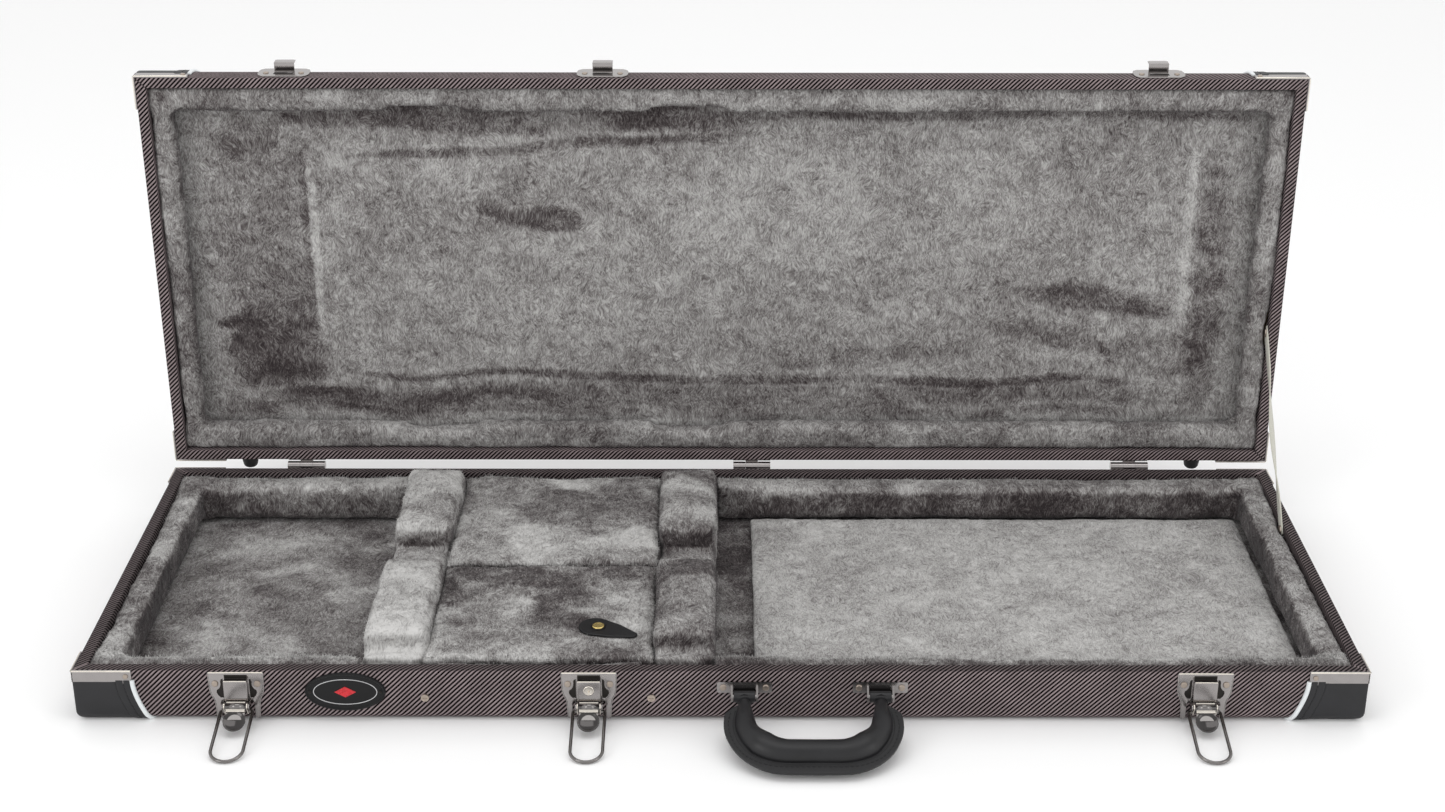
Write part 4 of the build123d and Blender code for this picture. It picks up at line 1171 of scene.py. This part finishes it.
# Marks brushed into the lid's lining, and a painted shadow band under its top pad: centre, half-size, slant and
# how much darker or lighter
BRUSHED_AND_SHADED = (
    ((-180, -147), (235, 14), 0.0, -0.46),
    ((265, -152), (215, 9), 0.0, -0.36),
    ((-152, -121), (190, 5), -0.06, -0.42),
    ((-165, -48), (36, 12), 0.12, -0.44),
    ((-214, -60), (17, 13), 0.3, -0.30),
    ((-195, -84), (14, 22), 0.0, -0.16),
    ((362, 37), (76, 13), 0.08, -0.46),
    ((318, 76), (58, 13), 0.25, -0.28),
    ((415, 92), (55, 20), 0.0, -0.26),
    ((40, 117), (400, 5), 0.01, -0.44),
    ((40, 134), (450, 13), 0.0, -0.28),
    ((-330, 141), (165, 12), 0.0, -0.36),
    ((130, 92), (100, 10), -0.05, -0.22),
    ((-437, -10), (48, 150), 0.0, -0.24),
    ((-428, 92), (50, 45), 0.3, -0.34),
    ((463, 30), (18, 130), 0.0, -0.30),
    ((-383, -20), (4, 100), 0.0, 0.30),
    ((-391, -20), (4, 100), 0.0, -0.20),
    ((440, -30), (5, 95), 0.0, 0.28),
    ((120, -60), (240, 50), 0.0, 0.06),
    # Painted shadow along the lining under the top pad.
    ((0, -162), (500, 7), 0.0, -0.30),
    ((0, 153), (500, 6), 0.0, -0.24),
)


def lid_nap_and_shade(spots, seed):
    """The lid's lining: light in the middle, with bands and marks brushed dark along its edges and a painted
    shadow band under the top pad.
    """
    value = nap_value(spots, seed, 0.70, 0.07)
    ragged = grain(spots, (26 * MM, 9 * MM, 1), 5)
    wander = 7 * MM * grain(spots, (90 * MM, 200 * MM, 1), 6)
    for number, (centre, half, slant, change) in enumerate(BRUSHED_AND_SHADED):
        along = (spots[:, 0] / MM - centre[0]) / half[0]
        back = (spots[:, 1] + (wander if half[1] < 50 else 0)) / MM - centre[1]
        across = (back - slant * half[0] * along) / half[1]
        reach = np.sqrt(along**4 + across**2) if half[0] > half[1] else np.sqrt(along**2 + across**4)
        edge = 1 - ramp(reach + 0.30 * ragged, 0.55, 1.25)
        broken = 0.75 + 0.35 * grain(spots, (48 * MM, 14 * MM, 1), 30 + number)
        value += change * edge * broken
    return value


def floor_nap_and_shade(spots, seed):
    value = nap_value(spots, seed, 0.62, 0.26)
    value -= 0.06 * (1 - ramp(spots[:, 0], -0.32, -0.28))
    # Painted shadow on the floor lining between the body rest and the bed.
    return value - 0.24 * ramp(spots[:, 0], -0.08, -0.05)


inner = HALF_LENGTH - WALL
inner_y = HALF_DEPTH - WALL
lining(
    "lid_lining_plush", lid_half, (-inner + 4 * MM, -inner_y + 4 * MM), (inner - 4 * MM, inner_y - 4 * MM),
    29.0 * MM, 2.6 * MM, 3, lid_nap_and_shade, lid_waves, ["lid_top_lining"],
)
lining(
    "base_floor_plush", base_half, (-inner + 1 * MM, -inner_y + 1 * MM), (inner - 1 * MM, inner_y - 1 * MM),
    41.4 * MM, 3.2 * MM, 40, floor_nap_and_shade, no_waves, ["base_floor_lining"],
)


# Build: pile along the edges that show

def rim_weight(spots, directions):
    """Mostly the pads' upper edges, beside the rim."""
    return (0.06 + ramp(spots[:, 2], 0.040, 0.047)) * (1 + 2.5 * front_crest(spots))


def lid_weight(spots, directions):
    """The lid's pads: most beside the rim and on the crests, fewer where the neck rests pass."""
    back = np.abs(spots[:, 1])
    crest = ramp(back, 0.150, 0.156) * (1 - ramp(back, 0.163, 0.170))
    edge = 0.06 + (1 - ramp(spots[:, 2], 0.052, 0.060)) * (0.6 + 1.4 * crest)
    return edge * (1 - beside_rests(spots) * crest)


def rest_weight(spots, directions):
    return (0.15 + ramp(spots[:, 2], 0.045, 0.055)) * (np.abs(spots[:, 1]) < 0.160)


def panel_weight(spots, directions):
    """Most tufts stand along a panel's edges, and none under the pull tab."""
    edge = np.zeros(len(spots))
    for axis in (0, 1):
        for end in (spots[:, axis].min(), spots[:, axis].max()):
            edge = np.maximum(edge, 1 - ramp(np.abs(spots[:, axis] - end), 1.5 * MM, 4 * MM))
    return (0.4 + 3.0 * edge) * (1 - under_tab(spots)) * (directions[:, 2] > 0.1)


pile(base_pads, "base_wall_pile", "base", 11000, 3.0 * MM, rim_weight)
pile(lid_pads, "lid_wall_pile", "lid", 8000, 2.6 * MM, lid_weight)
pile(head_rest, "head_rest_pile", "base", 3500, 2.2 * MM, rest_weight)
pile(body_rest, "body_rest_pile", "base", 3500, 2.2 * MM, rest_weight)
pile(flap, "pocket_lid_pile", "pocket_lid", 5000, 2.6 * MM, panel_weight)
pile(fixed_panel, "pocket_fixed_pile", "base", 4500, 2.6 * MM, panel_weight)


# Build: latches, handle, badge, tab and strap


def front_drawing(x, forward):
    """On the base's front face: local x is along the case, local y is up from the underside."""
    return basis((x, -HALF_DEPTH - forward * MM, 0), (1, 0, 0), (0, 0, 1))


def side_drawing(x):
    """Across the case: local x is forward of the front face, local y is up."""
    return basis((x, -HALF_DEPTH, 0), (0, -1, 0), (0, 0, 1))


def ring_line(matrix, points, z=0.0):
    """Drawn points in millimetres, placed in the frame."""
    return [matrix @ Vector((x * MM, y * MM, z * MM)) for x, y in points]


def circle(centre, radius, count=32):
    return arc(centre, radius, 0, 360 * (count - 1) / count, count)


def lathe(matrix, centre, profile, material, name):
    """A turned piece: the profile's points are (radius, height) in millimetres."""
    points = []
    segments = 48
    for angle in np.linspace(0, 2 * math.pi, segments, endpoint=False):
        for radius, height in profile:
            out = Vector((radius * math.cos(angle), radius * math.sin(angle), height))
            points.append(matrix @ ((Vector((*centre, 0)) + out) * MM))
    faces = quads(segments, len(profile), round_rows=True)
    return outward(build(name, points, faces, material), 0.005 * MM)


# The latches, in millimetres. Their pin is forward of the front face and up from the underside.
# The plate's right edge runs from the top down, and a gap lies on each side of its housing, with painted shade
# behind it.
LATCH_PIN = (9.0, 18.5)
LOCK_SPOT = (0, 32)
PLATE_EDGE = [
    (22.5, 46), (22.3, 38), (21.9, 29), (21.0, 25.4), (19.4, 22), (18.4, 19), (17.9, 12), (17.5, 5),
    (16.9, 3.2), (15.6, 2.6), (14.4, 3.2), (13.8, 5), (13.8, 17), (12.9, 19.5), (10.7, 20.4),
]
PLATE_GAP = [
    (10.7, 22.2), (13.4, 22.4), (15.2, 24.4), (16.3, 27.0), (16.0, 29.3), (14.2, 30.6), (13.0, 32.6),
    (12.5, 35.2), (12.6, 37.6), (12.0, 39.4), (10.7, 40.0),
]


def latch_front(x, has_lock):
    """The fixed part of a latch: a shaped plate, its gaps over painted shade, and the raised housing."""
    drawing = front_drawing(x, 0.0)
    plate_loops = [mirrored(PLATE_EDGE), PLATE_GAP, [(-a, b) for a, b in PLATE_GAP]]
    backing = mirrored([(17.0, 44), (16.9, 21), (13.5, 18), (10.5, 18)])
    box = [(-9.8, 21.2), (9.8, 21.2), (9.8, 39.6), (9.1, 40.3), (-9.1, 40.3), (-9.8, 39.6)]
    hole = [circle(LOCK_SPOT, 3.35)] if has_lock else []
    mouth = [(-9.4, 40.5), (9.4, 40.5), (9.4, 43.8), (-9.4, 43.8)]
    parts = [
        cut_plate("plate", plate_loops, 1.3, 0.35, drawing, nickel),
        # A black backing under the gaps: painted shade.
        cut_plate("backing", [backing], 0.5, 0.1, drawing, dark_metal),
        cut_plate("housing", [box] + hole, 4.9, 0.7, front_drawing(x, 1.1), nickel),
        # A black sheet in the housing's mouth: painted shade.
        cut_plate("mouth", [mouth], 0.5, 0.1, front_drawing(x, 1.05), dark_metal),
    ]
    # Bright bars along the plate's top edge and the housing's top: painted highlights.
    for forward, half_width, height, radius in ((0.9, 22.2, 45.6, 0.65), (5.6, 9.2, 40.0, 0.55)):
        line = ring_line(front_drawing(x, forward), [(-half_width, height), (half_width, height)])
        parts.append(bar("bright", bright_nickel_and_highlight, line, radius * MM))
    ear = [(1.0, 15.9), (9.0, 15.9)] + arc(LATCH_PIN, 2.6, -90, 90, 12)[1:] + [(1.0, 21.1)]
    for side, start in ((-1, -10.3), (1, 11.3)):
        edge = ring_line(front_drawing(x, 1.1), [(side * a, b) for a, b in PLATE_EDGE[:9]])
        parts.append(bar("flange", nickel, edge, 0.55 * MM, ring=10, up=(0, -1, 0)))
        parts.append(cut_plate("ear", [ear], 1.0, 0.2, side_drawing(x + start * MM), nickel))
    if has_lock:
        drawn = front_drawing(x, 5.9)
        profile = [(3.3, 0.0), (3.3, 0.5), (3.7, 0.9), (4.3, 0.7), (4.5, 0.0)]
        parts.append(lathe(drawn, LOCK_SPOT, profile + [(3.3, 0.0)], bright_nickel_and_highlight, "rosette"))
    return parts


latch_fronts = []
for side, x in LATCH_X.items():
    latch_fronts += latch_front(x, side == "middle")
place(joined("latch_front_plates", latch_fronts), "base", ["latch_plates"])

LEVER_TILT = math.radians(33)
for side, x in LATCH_X.items():
    across = side_drawing(x)
    parts = []
    pivot_axis = Vector(joints[f"bail_{side}_swing"]["pos_m"])
    bail_pivot = ((-pivot_axis.y - HALF_DEPTH) / MM, pivot_axis.z / MM)
    for start in (9.9, -8.8):
        cheek = arc(LATCH_PIN, 3.3, 0, 180, 14)
        cheek += arc(bail_pivot, 2.6, 160, 340, 12)
        parts.append(cut_plate("cheek", [cheek], 1.1, 0.3, side_drawing(x + start * MM), bright_nickel_and_highlight))
    ends = [across @ Vector((9.0 * MM, 18.3 * MM, z * MM)) for z in (-8.7, 8.7)]
    parts.append(bar("barrel", wire_nickel_dark_reflection, ends, 3.5 * MM, ring=28))
    ledge = [(7.0, 21.6), (7.5, 22.2), (8.2, 22.3), (13.6, 17.0), (13.9, 16.2), (13.4, 15.7)]
    ledge += [(12.7, 16.0), (8.0, 20.8)]
    parts.append(cut_plate("ledge", [ledge], 15.6, 0.25, side_drawing(x + 7.8 * MM), bright_nickel_and_highlight))
    tab_drawing = Matrix.Translation(across @ Vector((LATCH_PIN[0] * MM, LATCH_PIN[1] * MM, 0)))
    tab_drawing = tab_drawing @ Matrix.Rotation(LEVER_TILT, 4, "X")
    tongue = [(-7.9, -12.0), (7.9, -12.0), (7.9, -2.0), (-7.9, -2.0)]
    lowered = tab_drawing @ Matrix.Translation((0, 0, -1.3 * MM))
    parts.append(cut_plate("tongue", [tongue], 1.1, 0.3, lowered, wire_nickel_dark_reflection))
    dish = [(0, -0.9), (3.0, -0.75), (6.0, -0.2), (7.8, 0.5), (8.6, 0.85), (9.1, 0.75)]
    dish += [(9.3, 0.2), (9.1, -0.4), (8.4, -0.9), (6.0, -1.5), (3.0, -1.9), (0, -2.0)]
    parts.append(lathe(tab_drawing, (0, -13.2), dish, dish_dark_reflection, "dish"))
    place(joined(f"thumb_lever_{side}", parts), f"lever_{side}", [f"latch_lever_{side}"])

# Strikes on the lid's front wall


def lid_drawing(x, forward):
    """On the lid's front wall: local x is along the case, local y is away from the rim."""
    return lid_open @ basis((x, -HALF_DEPTH - forward * MM, BASE_HEIGHT), (1, 0, 0), (0, 0, 1))


strike_parts = []
for x in LATCH_X.values():
    right = [(12.0, 26.0), (18.5, 25.5), (22.4, 22.5), (23.4, 18.0), (23.4, 10.0), (22.0, 5.4), (18.0, 3.2)]
    slot = [(-8.6, 8.0), (8.6, 8.0), (8.6, 15.4), (-8.6, 15.4)]
    wall = lid_drawing(x, 0.0)
    strike_parts.append(cut_plate("strike", [mirrored(right), slot], 1.3, 0.35, wall, nickel))
    # A black sheet in the slot: painted shade.
    strike_parts.append(cut_plate("slot", [slot], 0.4, 0.1, wall, dark_metal))
    root = [(1.1, 16.9), (8.9, 16.9), (9.4, 17.4), (9.6, 18.4), (9.6, 25.4)]
    root += [(9.1, 26.5), (8.5, 26.4), (8.3, 25.4), (8.3, 18.3), (1.1, 18.3)]
    tongue_at = lid_open @ side_drawing(x + 9.1 * MM) @ Matrix.Translation((0, BASE_HEIGHT, 0))
    strike_parts.append(cut_plate("hook", [root], 18.2, 0.25, tongue_at, nickel))
    tongue = [(-9.2, 17.6), (-8.4, 16.9), (8.4, 16.9), (9.2, 17.6)]
    tongue += [(9.2, 24.6), (7.6, 26.5), (-7.6, 26.5), (-9.2, 24.6)]
    strike_parts.append(cut_plate("tongue", [tongue], 1.25, 0.45, lid_drawing(x, 8.32), nickel))
place(joined("strike_plates", strike_parts), "lid", ["lid_strikes"])

# Handle: a moulded grip along a bent line, and its sewn welt
handle_axis = Vector(joints["handle_swing"]["pos_m"])
REACH = 64.0
HALF_SPAN = 55.75
BEND = 34.0
EYE_HEIGHT = 27.0
GRIP_BELOW = 11.5
ABOVE_TABLE = 0.2
HANDLE_TILT = math.asin((EYE_HEIGHT - GRIP_BELOW - ABOVE_TABLE) / 66.5)
handle_drawing = basis(handle_axis, (1, 0, 0), (0, math.cos(HANDLE_TILT), math.sin(HANDLE_TILT)))


def handle_line(offset=0.0):
    """Half of the handle's line from its eye to its middle, moved outwards by an offset."""
    corner = (-HALF_SPAN + BEND, -REACH + BEND)
    leg = [(-HALF_SPAN, y) for y in np.linspace(-5.0, corner[1], 9)[:-1]]
    bend = arc(corner, BEND, 180, 270, 15)
    grip = [(x, -REACH) for x in np.linspace(corner[0], 0, 8)[1:]]
    line = np.array(leg + bend + grip)
    ahead = np.gradient(line, axis=0)
    ahead /= np.linalg.norm(ahead, axis=1)[:, None]
    out = np.stack((ahead[:, 1], -ahead[:, 0]), axis=1)
    return line + out * np.broadcast_to(offset, len(line))[:, None]


def whole(half):
    """Both halves of a line, from one eye to the other."""
    half = [tuple(p) for p in half]
    return half + [(-x, y) for x, y in reversed(half[:-1])]


line = handle_line()
travel = np.concatenate(([0], np.cumsum(np.linalg.norm(np.diff(line, axis=0), axis=1))))
girth = np.interp(travel, [0, 4, 10, 22, 38, 56, 76, 110], [4.6, 4.7, 6.0, 8.4, 9.8, 12.6, 11.6, 11.3])
inward = np.interp(travel, [0, 22, 50, 80, 110], [0, 0, 1.6, 0, 0])
handle_up = handle_drawing.to_3x3() @ Vector((0, 0, 1))
grip_path = ring_line(handle_drawing, whole(handle_line(-inward)))
grip_radii = np.concatenate((girth, girth[-2::-1])) * MM
grip = bar("moulded_grip", black_leather, grip_path, grip_radii, ring=36, flat=0.97, up=handle_up)
eyes = Pieces()
for sign in (-1, 1):
    centre = Vector((handle_axis.x + sign * HALF_SPAN * MM, handle_axis.y, handle_axis.z))
    ends = [centre + Vector((dx * MM, 0, 0)) for dx in (-8.9, -8.4, 8.4, 8.9)]
    eyes.add(*tube(ends, np.array((4.3, 4.8, 4.8, 4.3)) * MM, ring=28, up=(0, 0, 1)))
    ends = [centre + handle_drawing.to_3x3() @ Vector((0, y * MM, 0)) for y in (0, -7)]
    eyes.add(*tube(ends, 6.1 * MM, ring=24, flat=0.74, up=handle_up))
grip = joined("carrying_grip", [grip, eyes.finish("eyes", black_leather)])
place(grip, "handle", ["handle_grip"])

reach_out = np.interp(travel, [0, 4, 9, 16, 40, 70, 110], [3.0, 3.0, 10.0, 16.5, 18.0, 22.5, 23.0])
welt_loop = whole(handle_line(reach_out)[2:]) + whole(handle_line(-2.0)[2:])[::-1]
welt_at = handle_drawing @ Matrix.Translation((0, 0, -1.6 * MM))
welt = cut_plate("welt", [welt_loop], 3.2, 0.9, welt_at, black_leather)
sewn = Pieces()
seam_line = handle_line(np.minimum(girth + 4.4, reach_out - 2.6))
for lift in (-1.65, 1.65):
    line = ring_line(handle_drawing, whole(seam_line[4:]), lift)
    sewn.add(*stitches(line, 4.3 * MM, 3.0 * MM, 0.55 * MM))
crease = handle_line(girth + 0.9)
sewn.add(*tube(ring_line(handle_drawing, whole(crease[4:]), 1.4), 0.5 * MM, ring=8))
place(joined("grip_welt", [welt]), "handle", ["handle_welt"])
place(sewn.finish("welt_stitches", thread), "handle")

# Badge: a raised oval rim round a plain ring and a small lozenge
BADGE_X = -308 * MM
badge_at = front_drawing(BADGE_X, 0.0)


def oval(wide, tall):
    """A loop round the badge's middle, which is 28 mm up the wall."""
    angles = np.linspace(0, 2 * math.pi, 72, endpoint=False)
    return [(wide * math.cos(a), 28 + tall * math.sin(a)) for a in angles]


badge_parts = [cut_plate("oval", [oval(33.2, 17.7)], 1.7, 0.5, badge_at, badge_black)]
badge_rims = ((32.2, 16.7, 0.9, 1.5, badge_black), (26.0, 11.6, 0.35, 1.6, badge_ring))
for wide, tall, radius, height, material in badge_rims:
    line = ring_line(badge_at, oval(wide, tall), height)
    badge_parts.append(bar("ring", material, line, radius * MM, ring=10, up=(0, -1, 0), closed=True))
lozenge = [(-9.0, 28.0), (0.0, 33.0), (9.0, 28.0), (0.0, 23.0)]
badge_parts.append(cut_plate("lozenge", [lozenge], 0.5, 0.15, front_drawing(BADGE_X, 1.6), badge_red))
place(joined("oval_badge", badge_parts), "base", ["badge"])

# Pull tab with its button, on the pocket's flap
tab_place = Matrix.Translation((*TAB_SPOT, tab_base.z + 0.6 * MM)) @ Matrix.Rotation(TAB_TURN, 4, "Z")
teardrop = arc((24, 0), 4.0, -62, 62, 8) + [(8, 10.6)] + arc((-11, 0), 14.0, 72, 288, 18) + [(8, -10.6)]
tab_parts = [cut_plate("leaf", [teardrop], 2.0, 0.7, tab_place, black_leather)]
collar = [(6.3, 1.9), (6.3, 2.5), (5.7, 2.9), (5.2, 2.7), (5.2, 1.9)]
tab_parts.append(lathe(tab_place, (-8, 0), collar, dark_metal, "collar"))
button = [(5.2, 2.2), (5.2, 3.0), (4.7, 3.5), (4.0, 3.4), (3.6, 3.15), (2.0, 3.3), (0, 3.35)]
tab_parts.append(lathe(tab_place, (-8, 0), button, brass, "button"))
place(joined("leather_pull_tab", tab_parts), "pocket_lid", ["pull_tab", "pull_tab_button"])

# Stay strap: taut webbing with a slow twist, held at both ends
strap_x = sum(corner.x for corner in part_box("stay_strap")) / 2
low_end = Vector((strap_x, *BASE_ANCHOR))
high_end = Vector((strap_x, *LID_ANCHOR))
course = (high_end - low_end).normalized()
sideways = Vector((1, 0, 0))
flat_side = course.cross(sideways)
points, texture = [], []
ROWS = 90
TUCKED = 5 * MM
outline = [(-5.5, 0.35), (-5.2, 0.6), (5.2, 0.6), (5.5, 0.35)]
outline += [(-wide, -thick) for wide, thick in outline]
for i in range(ROWS):
    t = i / (ROWS - 1)
    centre = low_end.lerp(high_end, t) + course * TUCKED * ((i == ROWS - 1) - (i == 0))
    swing = math.sin(math.pi * np.clip((t - 0.1) / 0.75, 0, 1)) ** 2
    turn = math.radians(34) * swing
    centre = centre - Vector((1.6 * MM * swing, 0, 0))
    for wide, thick in outline:
        spot = flat_side * wide * math.cos(turn) + sideways * wide * math.sin(turn)
        spot += sideways * thick * math.cos(turn) - flat_side * thick * math.sin(turn)
        points.append(centre + spot * MM)
        texture.append((t * 0.19, (wide + 6) * MM))
strap = build("webbing_strap", points, bar_faces(ROWS, len(outline)), strap_webbing)
set_texture(strap.data, texture)
outward(strap)
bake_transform(strap)
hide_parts("stay_strap")


# Stage and light

floor_shader = Shader("studio_floor", Roughness=0.55)
floor_shader.main.inputs["Base Color"].default_value = (1.0, 1.0, 1.0, 1)
floor = build(
    "studio_floor_plane", [(-30, -30, 0), (30, -30, 0), (30, 30, 0), (-30, 30, 0)], [(0, 1, 2, 3)],
    floor_shader.material, smooth=False,
)
floor.location.z = -0.3 * MM


def area_light(name, spot, target, size, power):
    data = bpy.data.lights.new(name, "AREA")
    data.shape = "RECTANGLE"
    data.size, data.size_y = size
    data.energy = power
    lamp = new_object(name, data)
    lamp.location = spot
    lamp.rotation_euler = (Vector(target) - Vector(spot)).to_track_quat("-Z", "Y").to_euler()


area_light("overhead", (0.0, -0.2, 2.4), (0, 0.05, 0.1), (2.2, 1.2), 12.0)
area_light("front_left", (-1.9, -1.7, 1.3), (0, 0, 0.15), (1.0, 1.4), 9.0)
area_light("front_right", (2.1, -1.4, 1.1), (0, 0, 0.15), (0.8, 1.4), 5.0)

world = bpy.data.worlds.new("studio")
world.use_nodes = True
bpy.context.scene.world = world
world_nodes = world.node_tree.nodes
world_links = world.node_tree.links
direction = world_nodes.new("ShaderNodeTexCoord")
split = world_nodes.new("ShaderNodeSeparateXYZ")
height = world_nodes.new("ShaderNodeMapRange")
for socket, value in zip(height.inputs[1:5], (0.45, 1.0, 1.04, 0.70)):
    socket.default_value = value
world_links.new(direction.outputs["Generated"], split.inputs[0])
world_links.new(split.outputs[2], height.inputs[0])
world_links.new(height.outputs[0], world_nodes["Background"].inputs["Strength"])
world_nodes["Background"].inputs["Color"].default_value = (1, 1, 1, 1)
bpy.context.scene.view_settings.view_transform = "Standard"
